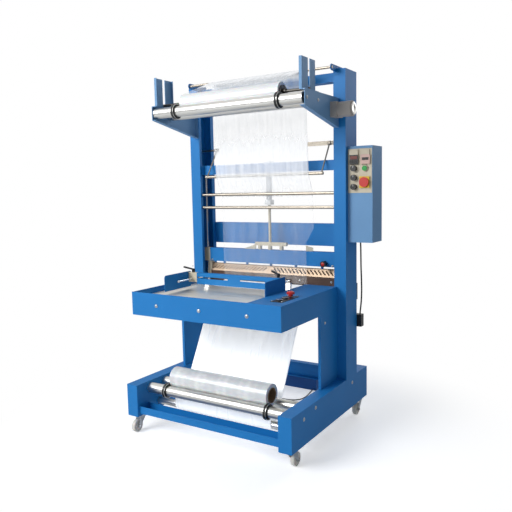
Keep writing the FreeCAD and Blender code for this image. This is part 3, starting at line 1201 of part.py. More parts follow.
# --- the nodes ---
def save_frame():
    """Base, columns, table, beams and the brackets of the film path."""
    save("base_frame", base_rail(), mirrored(base_rail()), *base_crossbars())
    save("columns", column(), mirrored(column()))
    save("leg_panels", leg_panel(), mirrored(leg_panel()))
    save("table_tray", table_tray())
    save("table_plate", table_plate())
    save("cross_beams", *cross_beams())
    save("film_brackets", film_bracket(), mirrored(film_bracket()), film_fork(), mirrored(film_fork()))
    save("rod_brackets", rod_bracket(), mirrored(rod_bracket()))
    save("film_tubes", *film_tubes())


def save_rollers():
    """The five rollers."""
    face, end = RAIL_INNER - SEAT, RAIL_INNER + SHEET + STUB_END
    save("bottom_roller_front", *roller(BOTTOM_ROLLER_Y, BOTTOM_ROLLER_Z, ROLLER_RADIUS, face, end, True))
    save("bottom_roller_rear", *roller(BOTTOM_REAR_Y, BOTTOM_ROLLER_Z, ROLLER_RADIUS, face, end, False))
    save("idler_roller", *roller(IDLER_Y, IDLER_Z, IDLER_RADIUS, face, end, False))
    face, end = BRACKET_FACE - SHEET - TOP_ROLLER_GAP, BRACKET_FACE + SHEET
    save("top_roller_front", *roller(TOP_ROLLER_Y, TOP_ROLLER_Z, ROLLER_RADIUS, face, end, True))
    save("top_roller_rear", *roller(TOP_REAR_Y, TOP_ROLLER_Z, ROLLER_RADIUS, face, end, False))


def save_film():
    """The film rolls, the film between them and the jaws, and the dancer."""
    save("film_shaft", film_shaft())
    save("film_roll_top", film_roll(TOP_ROLL_Y, TOP_ROLL_Z, TOP_ROLL_RADIUS, TOP_ROLL_BORE))
    save("film_roll_bottom", film_roll(BOTTOM_ROLL_Y, BOTTOM_ROLL_Z, BOTTOM_ROLL_RADIUS, CORE_RADIUS), core())
    save("film_web_upper", upper_web())
    save("film_web_lower", lower_web())
    save("dancer", dancer())


def save_jaw():
    """The moving upper jaw, the lower jaw, the guide rods and the cylinder."""
    save("jaw_beam", jaw_beam())
    save("jaw_cover", jaw_cover())
    save("jaw_band", jaw_band())
    save("jaw_yoke", *jaw_yoke())
    save("jaw_bearings", jaw_bearing(), mirrored(jaw_bearing()), jaw_spacer())
    save("jaw_knob", jaw_knob())
    save("guide_rods", *guide_rods())
    save("cylinder", cylinder())
    save("lower_jaw", *lower_jaw())


def save_fence():
    """The fence, its blocks, levers and rods."""
    left = fence_block(LEFT_ROD_X, FENCE_Y, LEFT_ROD_X - LEFT_BLOCK_REACH, FENCE_LEFT)
    right = fence_block(RIGHT_ROD_X, FENCE_REAR, RIGHT_ROD_X - RIGHT_BLOCK_INSIDE, RIGHT_ROD_X + RIGHT_BLOCK_OUTSIDE)
    save("fence", *fence())
    save("fence_blocks", left, right)
    save("lever_left", lever(LEFT_ROD_X, FENCE_Y + BLOCK_DEPTH / 2, 200))
    save("lever_right", lever(RIGHT_ROD_X, FENCE_REAR + BLOCK_DEPTH / 2, 160))
    save("fence_rods", *fence_rods())


def save_controls():
    """Buttons, dials, the control box and the motor."""
    save("button_plate", button_plate())
    save("push_button_front", push_button(BUTTON_ROWS[0]))
    save("push_button_rear", push_button(BUTTON_ROWS[1]))
    save("emergency_stop", emergency_stop())
    save("control_box", control_box())
    save("control_panel", *control_panel())
    for name, place in zip(("upper", "middle", "lower"), DIALS):
        save("dial_" + name, dial(place, DIAL_RADIUS, SEAT, DIAL_DEPTH))
    save("main_switch", dial(SWITCH, SWITCH_RADIUS, SWITCH_PLATE_DEPTH + SEAT, SWITCH_DEPTH))
    save("green_button", dial(LAMP, LAMP_RADIUS, BUTTON_TRAVEL + SEAT, LAMP_DEPTH))
    save("gear_motor", *gear_motor())


def save_casters():
    """Four casters, each a fork and a wheel; all but the front right one trail to the front."""
    front, rear = CASTER_ROWS
    for name, x, y, side in (("front_left", -RAIL_MIDDLE, front, -1), ("front_right", RAIL_MIDDLE, front, 1),
                             ("rear_left", -RAIL_MIDDLE, rear, -1), ("rear_right", RAIL_MIDDLE, rear, -1)):
        save("caster_fork_" + name, caster_fork(x, y, side))
        save("caster_wheel_" + name, caster_wheel(x, y, side))


def save_pedal():
    """Foot switch, its cable and glands, the air hose and the valve."""
    save("pedal_base", pedal_base(), strain_relief())
    save("pedal_treadle", treadle())
    save("pedal_cable", cord(CABLE_POINTS, CABLE_RADIUS))
    save("cable_gland", rail_gland())
    save("valve_block", *valve_block())
    save("air_hose", cord(HOSE_POINTS, HOSE_RADIUS))


def main():
    """Build every sub-part and write it."""
    os.makedirs("parts", exist_ok=True)
    save_frame()
    save_rollers()
    save_film()
    save_jaw()
    save_fence()
    save_controls()
    save_casters()
    save_pedal()


main()
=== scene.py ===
"""Sleeve sealer: the visual pieces and finishes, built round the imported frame, in metres."""
import math
import bpy
import bmesh
import numpy as np
from mathutils import Matrix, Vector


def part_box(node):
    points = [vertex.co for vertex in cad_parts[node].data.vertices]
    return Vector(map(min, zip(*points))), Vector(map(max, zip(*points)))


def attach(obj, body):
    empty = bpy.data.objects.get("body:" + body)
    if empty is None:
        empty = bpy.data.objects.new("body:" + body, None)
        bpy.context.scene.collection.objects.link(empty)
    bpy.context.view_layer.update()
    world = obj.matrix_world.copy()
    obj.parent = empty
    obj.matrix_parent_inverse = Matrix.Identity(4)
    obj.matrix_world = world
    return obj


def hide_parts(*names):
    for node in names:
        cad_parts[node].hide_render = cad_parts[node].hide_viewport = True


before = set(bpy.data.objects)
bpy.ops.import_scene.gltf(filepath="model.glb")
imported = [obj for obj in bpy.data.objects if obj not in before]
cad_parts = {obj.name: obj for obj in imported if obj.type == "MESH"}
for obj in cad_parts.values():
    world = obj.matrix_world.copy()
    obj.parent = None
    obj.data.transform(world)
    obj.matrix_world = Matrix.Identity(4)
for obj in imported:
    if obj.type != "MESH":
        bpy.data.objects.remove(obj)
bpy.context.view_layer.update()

# --- Room: a white sweep, a big soft key lamp at the front left and a dim fill ---
# The camera stands at the right front, a little over waist height, and looks slightly down.
# The key comes from the front, so the faces towards the operator are bright and the right sides dark.


def srgb(code):
    """Linear colour of a hex code: each channel c is (c + 0.055) / 1.055 raised to 2.4, or c / 12.92."""
    parts = [int(code[i:i + 2], 16) / 255 for i in (1, 3, 5)]
    return tuple(c / 12.92 if c <= 0.04045 else ((c + 0.055) / 1.055) ** 2.4 for c in parts) + (1.0,)


def add_node(tree, kind, inputs=None, **settings):
    """Adds one node, sets its own settings, and fills its inputs with values or links."""
    node = tree.nodes.new(kind)
    for name, value in settings.items():
        setattr(node, name, value)
    for name, value in (inputs or {}).items():
        if isinstance(value, bpy.types.NodeSocket):
            tree.links.new(value, node.inputs[name])
        else:
            node.inputs[name].default_value = value
    return node


def new_material(name, **inputs):
    """A material with one Principled shader. Returns the material, its tree and the shader."""
    material = bpy.data.materials.new(name)
    material.use_nodes = True
    tree = material.node_tree
    tree.nodes.clear()
    shader = add_node(tree, "ShaderNodeBsdfPrincipled", {k.replace("_", " "): v for k, v in inputs.items()})
    add_node(tree, "ShaderNodeOutputMaterial", {"Surface": shader.outputs[0]})
    return material, tree, shader


scene = bpy.context.scene
scene.view_settings.view_transform = "Standard"

lens_yaw, lens_pitch, lens_roll = math.radians(32.13), math.radians(6.37), math.radians(-1.16)
ahead = np.array([-math.sin(lens_yaw) * math.cos(lens_pitch), math.cos(lens_yaw) * math.cos(lens_pitch),
                  -math.sin(lens_pitch)])
level = np.array([math.cos(lens_yaw), math.sin(lens_yaw), 0.0])
upward = np.cross(level, ahead)
rolled = math.cos(lens_roll) * level + math.sin(lens_roll) * upward
risen = -math.sin(lens_roll) * level + math.cos(lens_roll) * upward
camera_data = bpy.data.cameras.new("camera")
camera_data.sensor_width = 36.0
camera_data.lens = 41.43
camera = bpy.data.objects.new("camera", camera_data)
matrix = np.eye(4)
matrix[:3, 0], matrix[:3, 1], matrix[:3, 2] = rolled, risen, -ahead
matrix[:3, 3] = (1.6573, -2.6671, 1.2832)
camera.matrix_world = Matrix(matrix.tolist())
scene.collection.objects.link(camera)
scene.camera = camera


def area_lamp(name, place, target, size, power):
    """A square lamp that looks from its place to a target."""
    data = bpy.data.lights.new(name, "AREA")
    data.size = size
    data.energy = power
    lamp = bpy.data.objects.new(name, data)
    back = np.array(place, float) - np.array(target, float)
    back = back / np.linalg.norm(back)
    side = np.cross((0, 0, 1), back)
    side = side / np.linalg.norm(side)
    up = np.cross(back, side)
    rows = np.eye(4)
    rows[:3, 0], rows[:3, 1], rows[:3, 2], rows[:3, 3] = side, up, back, place
    lamp.matrix_world = Matrix(rows.tolist())
    scene.collection.objects.link(lamp)


area_lamp("key", (-2.4, -4.6, 3.4), (0, 0, 0.9), 3.0, 275)
area_lamp("fill", (4.5, -1.5, 2.6), (0, 0, 1.0), 3.0, 3)
area_lamp("back", (0.5, 4.5, 3.2), (0, 0, 1.2), 3.0, 90)

world = bpy.data.worlds.new("white_room")
world.use_nodes = True
scene.world = world
room = world.node_tree
room.nodes.clear()
path = add_node(room, "ShaderNodeLightPath")
seen = add_node(room, "ShaderNodeMath", {0: path.outputs["Is Camera Ray"],
                                         1: path.outputs["Is Transmission Ray"]},
                operation="MAXIMUM")
direction = add_node(room, "ShaderNodeTexCoord")
height = add_node(room, "ShaderNodeSeparateXYZ", {0: direction.outputs["Generated"]})
sky = add_node(room, "ShaderNodeValToRGB", {0: height.outputs["Z"]})
sky.color_ramp.elements[0].color = srgb("#77787A")
sky.color_ramp.elements[1].color = srgb("#FFFFFF")
sky.color_ramp.elements[1].position = 0.45
glossy = add_node(room, "ShaderNodeBackground", {"Color": sky.outputs[0], "Strength": 0.9})
soft = add_node(room, "ShaderNodeBackground", {"Color": srgb("#E4ECF6"), "Strength": 0.25})
white = add_node(room, "ShaderNodeBackground", {"Color": (1, 1, 1, 1), "Strength": 1.0})
lit = add_node(room, "ShaderNodeMixShader", {0: path.outputs["Is Glossy Ray"], 1: soft.outputs[0],
                                             2: glossy.outputs[0]})
shown = add_node(room, "ShaderNodeMixShader", {0: seen.outputs[0], 1: lit.outputs[0], 2: white.outputs[0]})
add_node(room, "ShaderNodeOutputWorld", {"Surface": shown.outputs[0]})

floor_mesh = bpy.data.meshes.new("floor")
floor_mesh.from_pydata([(-9, -9, 0), (9, -9, 0), (9, 9, 0), (-9, 9, 0)], [], [(0, 1, 2, 3)])
floor = bpy.data.objects.new("floor", floor_mesh)
scene.collection.objects.link(floor)
floor_material, floor_tree, floor_shader = new_material("white_sweep", Base_Color=srgb("#F2F2F2"),
                                                        Roughness=0.9)
floor_path = add_node(floor_tree, "ShaderNodeLightPath")
floor_glow = add_node(floor_tree, "ShaderNodeMath", {0: floor_path.outputs["Is Camera Ray"], 1: 0.42},
                      operation="MULTIPLY")
floor_shader.inputs["Emission Color"].default_value = (1, 1, 1, 1)
floor_tree.links.new(floor_glow.outputs[0], floor_shader.inputs["Emission Strength"])
floor_place = add_node(floor_tree, "ShaderNodeTexCoord").outputs["Object"]
floor_far = add_node(floor_tree, "ShaderNodeVectorMath", {0: floor_place}, operation="LENGTH")
floor_fade = add_node(floor_tree, "ShaderNodeMapRange", {"Value": floor_far.outputs["Value"],
                                                         "From Min": 0.75, "From Max": 1.5},
                      interpolation_type="SMOOTHSTEP")
floor_share = add_node(floor_tree, "ShaderNodeMath", {0: floor_fade.outputs[0],
                                                      1: floor_path.outputs["Is Camera Ray"]},
                       operation="MULTIPLY")
floor_white = add_node(floor_tree, "ShaderNodeEmission", {"Color": (1, 1, 1, 1), "Strength": 1.0})
floor_mixed = add_node(floor_tree, "ShaderNodeMixShader", {0: floor_share.outputs[0],
                                                           1: floor_shader.outputs[0],
                                                           2: floor_white.outputs[0]})
floor_output = next(node for node in floor_tree.nodes if node.type == "OUTPUT_MATERIAL")
floor_tree.links.new(floor_mixed.outputs[0], floor_output.inputs["Surface"])
floor_mesh.materials.append(floor_material)

# --- Painted sheet metal: base, columns, table, brackets, beams, fence and the boxes ---
# Folded 3 mm steel sheet with a satin blue powder coat, baked on after the welding.
# The coat has a faint orange peel and drifts a little in tone. Control box and brackets get a paler blue,
# which is painted light: it stands for reflected light washing out the blue on these high parts.


def powder_coat(name, colour):
    """Powder coat: a satin-glossy dielectric with an orange peel about 6 mm across."""
    material, tree, shader = new_material(name, Roughness=0.5, IOR=1.5, Specular_IOR_Level=0.3)
    place = add_node(tree, "ShaderNodeTexCoord").outputs["Object"]
    cloud = add_node(tree, "ShaderNodeTexNoise", {"Vector": place, "Scale": 4.0, "Detail": 3.0})
    deep = tuple(c * 0.86 for c in srgb(colour)[:3]) + (1.0,)
    blend = add_node(tree, "ShaderNodeMix", {0: cloud.outputs["Fac"], 6: deep, 7: srgb(colour)},
                     data_type="RGBA")
    tree.links.new(blend.outputs[2], shader.inputs["Base Color"])
    peel = add_node(tree, "ShaderNodeTexNoise", {"Vector": place, "Scale": 160.0, "Detail": 1.0})
    bump = add_node(tree, "ShaderNodeBump", {"Height": peel.outputs["Fac"], "Strength": 0.06,
                                             "Distance": 0.0006})
    tree.links.new(bump.outputs[0], shader.inputs["Normal"])
    return material


def dress(material, *nodes):
    """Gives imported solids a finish."""
    for node in nodes:
        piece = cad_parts[node]
        for slot in piece.material_slots:
            slot.material = material


blue_coat = powder_coat("blue_powder_coat", "#167AC2")
dress(blue_coat, "base_frame", "columns", "leg_panels", "table_tray", "cross_beams", "rod_brackets",
      "jaw_beam", "fence", "pedal_base")
# Paler blue for the control box and film brackets: painted light, the wash of reflected light on the high
# parts.
painted_light_pale_coat = powder_coat("pale_blue_coat_painted_light", "#6E9CC8")
dress(painted_light_pale_coat, "control_box", "film_brackets")


# --- Screws: button heads on the table's front, the rails' sides, the leg panels and the brackets ---
# Zinc-plated steel, a domed head with a sunk socket on a flat washer, screwed into tapped holes.
# Zinc gives a cool pale grey with a soft shine.


def at(x, y, z):
    """A place in the machine, in mm: x from its middle, y from the front of its rails, z from the floor."""
    columns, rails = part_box("columns"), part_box("base_frame")
    return np.array([(columns[0].x + columns[1].x) / 2 + x / 1000, rails[0].y + y / 1000, z / 1000])


def closed(mesh, sharp=35.0):
    """Merges doubled points, points all faces outwards and keeps edges over a given angle sharp."""
    shape = bmesh.new()
    shape.from_mesh(mesh)
    bmesh.ops.remove_doubles(shape, verts=shape.verts, dist=1e-6)
    bmesh.ops.recalc_face_normals(shape, faces=shape.faces)
    shape.to_mesh(mesh)
    shape.free()
    mesh.shade_smooth()
    mesh.set_sharp_from_angle(angle=math.radians(sharp))
    return mesh


def grid_mesh(name, grids, wrap=True):
    """One mesh from grids of points: each cell of four neighbours is a face, and a wrapped grid joins its
    last column to its first."""
    points, faces, start = [], [], 0
    for grid in grids:
        rows, cols = grid.shape[:2]
        index = np.arange(rows * cols).reshape(rows, cols) + start
        if wrap:
            index = np.hstack([index, index[:, :1]])
        cells = np.stack([index[:-1, :-1], index[:-1, 1:], index[1:, 1:], index[1:, :-1]], -1)
        points.append(grid.reshape(-1, 3))
        faces.append(cells.reshape(-1, 4))
        start += rows * cols
    mesh = bpy.data.meshes.new(name)
    mesh.from_pydata(np.concatenate(points).tolist(), [], np.concatenate(faces).tolist())
    return mesh


def turned(profile, place, axis, count=40):
    """A turned shape: each (along, radius) pair of the profile, in millimetres, carried round the axis in
    equal steps."""
    along, radius = np.array(profile, float).T / 1000
    angle = np.linspace(0, 2 * math.pi, count, endpoint=False)
    k = "xyz".index(axis)
    grid = np.zeros((len(along), count, 3))
    grid[..., k] = along[:, None]
    grid[..., (k + 1) % 3] = radius[:, None] * np.cos(angle)
    grid[..., (k + 2) % 3] = radius[:, None] * np.sin(angle)
    return grid + np.array(place)


def piece(name, mesh, material, body, slot, *nodes):
    """Puts a mesh in the scene as a piece that rides on a body, and hides the nodes that it stands for."""
    thing = bpy.data.objects.new(name, mesh)
    mesh.materials.append(material)
    scene.collection.objects.link(thing)
    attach(thing, body)
    if nodes:
        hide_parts(*nodes)
    return thing


def metal(name, colour, roughness, grain=0.0, stretch=(1, 1, 1)):
    """Bare metal; its grain is noise drawn out along one direction, which moves the roughness a little."""
    material, tree, shader = new_material(name, Metallic=1.0, Roughness=roughness, Base_Color=srgb(colour))
    place = add_node(tree, "ShaderNodeTexCoord").outputs["Object"]
    drawn = add_node(tree, "ShaderNodeMapping", {"Vector": place, "Scale": stretch})
    lines = add_node(tree, "ShaderNodeTexNoise", {"Vector": drawn.outputs[0], "Scale": 120.0, "Detail": 3.0})
    spread = add_node(tree, "ShaderNodeMapRange", {"Value": lines.outputs["Fac"], "To Min": roughness - grain,
                                                   "To Max": roughness + grain})
    tree.links.new(spread.outputs[0], shader.inputs["Roughness"])
    return material


zinc = metal("zinc_plated_steel", "#B9BDC0", 0.32, 0.06)


def screw(place, axis, out, size=7.0):
    """A washer and a domed head with a sunk socket, out from the face along the axis."""
    washer, bore, socket = size * 1.35, size * 0.42, size * 0.4
    profile = [(0, 0), (0, washer), (1.2, washer), (1.2, size), (3.2, size * 0.92), (4.6, size * 0.55),
               (4.6, bore), (2.6, socket), (2.6, 0)]
    return turned([(out * a, r) for a, r in profile], place, axis, 16)


rail_side = 500.0
screws = [screw(at(x, 13, 707), "y", -1) for x in (-283, -12, 266)]
screws += [screw(at(rail_side, y, z), "x", 1) for y, z in ((121, 222), (243, 238), (691, 232))]
screws += [screw(at(-rail_side, y, z), "x", -1) for y, z in ((121, 222), (243, 238), (691, 232))]
screws += [screw(at(s * 448, 462, 603), "x", s, 5.5) for s in (-1, 1)]
screws += [screw(at(s * 462, y, 1704), "x", s, 6) for s in (-1, 1) for y in (260, 376)]
piece("frame_screws", closed(grid_mesh("frame_screws", screws)), zinc, "machine_frame", "zinc_steel")

# --- Casters: a nylon wheel in a zinc-plated swivel fork under each rail end ---
# The wheel is moulded white nylon with a rounded tread and a sunk web round its hub; an axle bolt holds it.
nylon = new_material("white_nylon", Base_Color=srgb("#D9D7D0"), Roughness=0.45, IOR=1.53,
                     Subsurface_Weight=0.08)[0]
dress(zinc, *["caster_fork_" + c for c in ("front_left", "front_right", "rear_left", "rear_right")])
for corner in ("front_left", "front_right", "rear_left", "rear_right"):
    low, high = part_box("caster_wheel_" + corner)
    hub = np.array([(a + b) / 2 for a, b in zip(low, high)])
    tread, half = 34.0, 11.0
    rim = [(-half + 3, 25), (-half + 0.5, 28), (-half, 31), (-half + 1.5, 33), (-half + 4.5, tread),
           (half - 4.5, tread), (half - 1.5, 33), (half, 31), (half - 0.5, 28), (half - 3, 25),
           (half - 5, 23), (half - 5, 13), (half - 3, 11), (half, 10.5), (half, 4.2), (-half, 4.2),
           (-half, 10.5), (-half + 3, 11), (-half + 5, 13), (-half + 5, 23), (-half + 3, 25)]
    piece("wheel_tyre_" + corner, closed(grid_mesh("wheel", [turned(rim, hub, "x", 56)])), nylon,
          "wheel_" + corner, "white_nylon", "caster_wheel_" + corner)
    nut = [(16, 0), (16, 8), (22, 8), (22, 4), (25, 3.4), (25, 0)]
    nuts = [turned([(s * a, r) for a, r in nut], hub, "x", 6) for s in (-1, 1)]
    piece("axle_nuts_" + corner, closed(grid_mesh("nuts", nuts)), zinc, "swivel_" + corner, "zinc_steel")

# --- Rollers: five satin aluminium rollers with black stop collars ---
# Drawn tube, turned true and left bright, so it is pale with a soft shine drawn out along the tube.
# The rubber-faced collars clamp on beside the film's edges.
satin = metal("satin_aluminium", "#D6D5D1", 0.3, 0.05, (0.02, 1, 1))
dress(satin, "top_roller_front", "top_roller_rear", "bottom_roller_front", "bottom_roller_rear",
      "idler_roller")


def moulded(name, colour, roughness=0.42, grit=0.0):
    """Moulded plastic or rubber with a fine spark-eroded texture."""
    material, tree, shader = new_material(name, Base_Color=srgb(colour), Roughness=roughness, IOR=1.5)
    place = add_node(tree, "ShaderNodeTexCoord").outputs["Object"]
    grains = add_node(tree, "ShaderNodeTexNoise", {"Vector": place, "Scale": 900.0, "Detail": 1.0})
    bump = add_node(tree, "ShaderNodeBump", {"Height": grains.outputs["Fac"], "Strength": grit,
                                             "Distance": 0.0003})
    tree.links.new(bump.outputs[0], shader.inputs["Normal"])
    return material


collar_rubber = moulded("black_rubber", "#17181A", 0.5, 0.2)
black = moulded("black_nylon", "#141517", 0.38, 0.1)
for body, node, name in (("front_upper_roller", "top_roller_front", "upper"),
                         ("front_lower_roller", "bottom_roller_front", "lower")):
    low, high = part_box(node)
    axis_y, axis_z = (low.y + high.y) / 2, (low.z + high.z) / 2
    rings = []
    for s in (-1, 1):
        start = np.array([at(s * 303.5, 0, 0)[0], axis_y, axis_z])
        profile = [(0, 27), (0, 36), (1, 38.5), (3, 39.5), (15, 39.5), (17, 38.5), (18, 36), (18, 27),
                   (0, 27)]
        rings.append(turned([(s * a, r) for a, r in profile], start, "x", 48))
        rings.append(turned([(s * 18, 27), (s * 18, 32), (s * 24, 31), (s * 24, 27)], start, "x", 48))
    piece("stop_collars_" + name, closed(grid_mesh("collars", rings)), collar_rubber, body, "black_rubber")
ends = []
for y in (260, 376):
    for s in (-1, 1):
        ends.append(turned([(0, 0), (0, 24.5), (s * 1.5, 24.5), (s * 1.5, 0)], at(s * 447, y, 1704), "x", 40))
piece("roller_plugs_front", closed(grid_mesh("plugs", ends[:2])), black, "front_upper_roller",
      "black_plastic")
piece("roller_plugs_rear", closed(grid_mesh("plugs", ends[2:])), black, "rear_upper_roller", "black_plastic")

# --- Lower film roll: shrink film wound on a cardboard core ---
# Clear film looks milky white when it is wound; its end face shows the layers as fine rings.


def wound_film(name, y, z):
    """Wound film: milky, glossy, with rings on its end faces from waves of the distance to the axis (y, z)."""
    material, tree, shader = new_material(name, Base_Color=srgb("#E3E6E8"), Roughness=0.3, IOR=1.5,
                                          Subsurface_Weight=0.25, Subsurface_Scale=0.02, Coat_Weight=0.4)
    place = add_node(tree, "ShaderNodeTexCoord").outputs["Object"]
    shift = add_node(tree, "ShaderNodeMapping", {"Vector": place, "Location": (0, -y, -z),
                                                 "Scale": (0.35, 1, 1)})
    rings = add_node(tree, "ShaderNodeTexWave", {"Vector": shift.outputs[0], "Scale": 90.0, "Distortion": 1.5,
                                                 "Detail": 2.0}, wave_type="RINGS", rings_direction="X")
    tone = add_node(tree, "ShaderNodeMix", {0: rings.outputs["Fac"], 6: srgb("#D3D7DA"), 7: srgb("#ECEEEF")},
                    data_type="RGBA")
    tree.links.new(tone.outputs[2], shader.inputs["Base Color"])
    return material


low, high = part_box("film_roll_bottom")
roll_at = np.array([(low.x + high.x) / 2, (low.y + high.y) / 2, (low.z + high.z) / 2])
half, radius = 300.0, 57.0
along = np.linspace(-half, half, 61)
body_line = list(zip(along, radius - 0.6 + 0.35 * np.sin(along / 23.0) + 0.25 * np.sin(along / 7.0)))
roll_line = [(-half, 38.2), (-half, radius - 1.2)] + body_line
roll_line += [(half, radius - 1.2), (half, 38.2), (-half, 38.2)]
piece("lower_film_roll", closed(grid_mesh("roll", [turned(roll_line, roll_at, "x", 72)])),
      wound_film("wound_shrink_film", roll_at[1], roll_at[2]), "lower_roll", "clear_film", "film_roll_bottom")
board, board_tree, board_shader = new_material("wound_cardboard", Base_Color=srgb("#8A6E55"), Roughness=0.85)
board_place = add_node(board_tree, "ShaderNodeTexCoord").outputs["Object"]
board_noise = add_node(board_tree, "ShaderNodeTexNoise", {"Vector": board_place, "Scale": 300.0,
                                                          "Detail": 4.0})
board_tone = add_node(board_tree, "ShaderNodeMix", {0: board_noise.outputs["Fac"], 6: srgb("#75593F"),
                                                    7: srgb("#A08468")},
                      data_type="RGBA")
board_tree.links.new(board_tone.outputs[2], board_shader.inputs["Base Color"])
core_line = [(-303, 34), (-303, 38), (303, 38), (303, 34), (-303, 34)]
piece("lower_core", closed(grid_mesh("core", [turned(core_line, roll_at, "x", 56)])), board, "lower_roll",
      "clear_film")

# --- Film webs: single sheets that run from the rolls round the bars to the jaw ---
# Thin clear film with haze in it from the slip agent, whitened further by painted sheen where the upper sheet
# wraps round the top rod; below the bars it hangs in lengthwise creases and gathers near its right edge.


def film(name, haze, glow=0.0, levels=()):
    """Film sheet: a share of its surface is see-through, and the rest is glossy white haze.

    The share is the level at the height z, or the haze where no levels are given, times 0.75 to 1.25
    from noise drawn out along the sheet.
    The glow stands for light that comes through milky film from behind.
    """
    material, tree, shader = new_material(name, Base_Color=srgb("#FBFCFD"), Roughness=0.25, IOR=1.5,
                                          Specular_IOR_Level=0.4, Emission_Color=srgb("#F4F8FC"),
                                          Emission_Strength=glow)
    place = add_node(tree, "ShaderNodeTexCoord").outputs["Object"]
    drawn = add_node(tree, "ShaderNodeMapping", {"Vector": place, "Scale": (1.0, 0.25, 0.12)})
    crease = add_node(tree, "ShaderNodeTexNoise", {"Vector": drawn.outputs[0], "Scale": 30.0, "Detail": 4.0})
    bump = add_node(tree, "ShaderNodeBump", {"Height": crease.outputs["Fac"], "Strength": 0.15,
                                             "Distance": 0.003})
    tree.links.new(bump.outputs[0], shader.inputs["Normal"])
    streak = add_node(tree, "ShaderNodeMapRange", {"Value": crease.outputs["Fac"], "From Min": 0.35,
                                                   "From Max": 0.7, "To Min": 0.75, "To Max": 1.25})
    height = add_node(tree, "ShaderNodeSeparateXYZ", {0: place})
    share = add_node(tree, "ShaderNodeMapRange", {"Value": height.outputs["Z"], "From Min": 0.0,
                                                  "From Max": 2.0})
    ramp = add_node(tree, "ShaderNodeValToRGB", {0: share.outputs[0]})
    for i, (z, level) in enumerate(levels or ((0.0, haze), (2.0, haze))):
        stop = ramp.color_ramp.elements[i] if i < 2 else ramp.color_ramp.elements.new(z / 2)
        stop.position = z / 2
        stop.color = (level, level, level, 1)
    mixed = add_node(tree, "ShaderNodeMath", {0: ramp.outputs[0], 1: streak.outputs[0]}, operation="MULTIPLY",
                     use_clamp=True)
    tree.links.new(mixed.outputs[0], shader.inputs["Alpha"])
    return material


def film_line(turns, step=6.0):
    """Points every few millimetres along a film that runs straight between turning circles (y, z, radius,
    side)."""
    angles = []
    for a, b in zip(turns, turns[1:]):
        dy, dz = b[0] - a[0], b[1] - a[1]
        angles.append(math.atan2(dz, dy) - math.asin((b[3] * b[2] - a[3] * a[2]) / math.hypot(dy, dz)))
    corners = []
    for i, angle in enumerate(angles):
        y, z, radius, side = turns[i]
        if i > 0:
            swing = (angle - angles[i - 1] + math.pi) % (2 * math.pi) - math.pi
            t = np.linspace(angles[i - 1], angles[i - 1] + swing, max(2, int(abs(swing) * 6)))[1:-1]
            corners.extend(zip(y + side * radius * np.sin(t), z - side * radius * np.cos(t)))
        corners.append((y + side * radius * math.sin(angle), z - side * radius * math.cos(angle)))
        y, z, radius, side = turns[i + 1]
        corners.append((y + side * radius * math.sin(angle), z - side * radius * math.cos(angle)))
    corners = np.array(corners)
    length = np.concatenate([[0], np.cumsum(np.hypot(*np.diff(corners, axis=0).T))])
    places = np.linspace(0, length[-1], max(2, int(length[-1] / step)))
    return np.stack([np.interp(places, length, corners[:, 0]), np.interp(places, length, corners[:, 1])], -1)


def film_sheet(name, line, left, right, creases):
    """A sheet between a left and a right edge line; creases(u, v) moves each point across the sheet, in
    millimetres."""
    count = 70
    u = np.linspace(0, 1, count)
    v = np.linspace(0, 1, len(line))
    tangent = np.gradient(line, axis=0)
    tangent = tangent / np.linalg.norm(tangent, axis=1)[:, None]
    normal = np.stack([tangent[:, 1], -tangent[:, 0]], -1)
    push = creases(u[None, :], v[:, None])
    origin = at(0, 0, 0)
    grid = np.zeros((len(line), count, 3))
    grid[..., 0] = origin[0] + (left(v)[:, None] * (1 - u) + right(v)[:, None] * u) / 1000
    grid[..., 1] = origin[1] + (line[:, :1] + normal[:, :1] * push) / 1000
    grid[..., 2] = origin[2] + (line[:, 1:] + normal[:, 1:] * push) / 1000
    mesh = grid_mesh(name, [grid], wrap=False)
    mesh.shade_smooth()
    return mesh


def thickened(thing, mm):
    """Gives a sheet its thickness, half to each side."""
    wall = thing.modifiers.new("thickness", "SOLIDIFY")
    wall.thickness = mm / 1000
    wall.offset = 0
    return thing


lower_line = film_line([(156, 228, 0, 1), (176, 136, 20.8, 1), (228.5, 228, 28.8, 1), (536, 733, 4.8, -1),
                        (652, 756, 0.5, 1)])
lower_web = piece("lower_film_web", film_sheet(
    "lower_web", lower_line, lambda v: np.full_like(v, -300.0), lambda v: np.full_like(v, 300.0),
    lambda u, v: 0.25 * np.sin(u * 31 + 3 * v) * np.sin(math.pi * v)), film("milky_film", 0.97, glow=0.3),
    "machine_frame", "clear_film", "film_web_lower")
thickened(lower_web, 0.3)
upper_line = film_line([(318, 1752.02, 47.8, -1), (560, 1888, 7.3, -1), (597, 1365, 9.3, 1),
                        (630.5, 1261, 9.3, -1), (652, 760, 0.5, 1)])


def upper_creases(u, v):
    """Lengthwise creases: a few sine waves across the sheet, which grow where the film hangs free below
    the bars."""
    free = np.clip((v - 0.72) / 0.12, 0, 1)
    waves = np.sin(u * 47 + 2.5 * v) + 0.6 * np.sin(u * 93 - 6 * v) + 0.5 * np.sin(u * 19 + 9 * v)
    gather = np.exp(-((u - 0.83) / 0.1) ** 2) * np.sin(u * 150 + 4 * v)
    return 0.25 * waves * np.sin(math.pi * np.clip(v * 3, 0, 1)) + free * (1.2 * waves + 3.0 * gather)


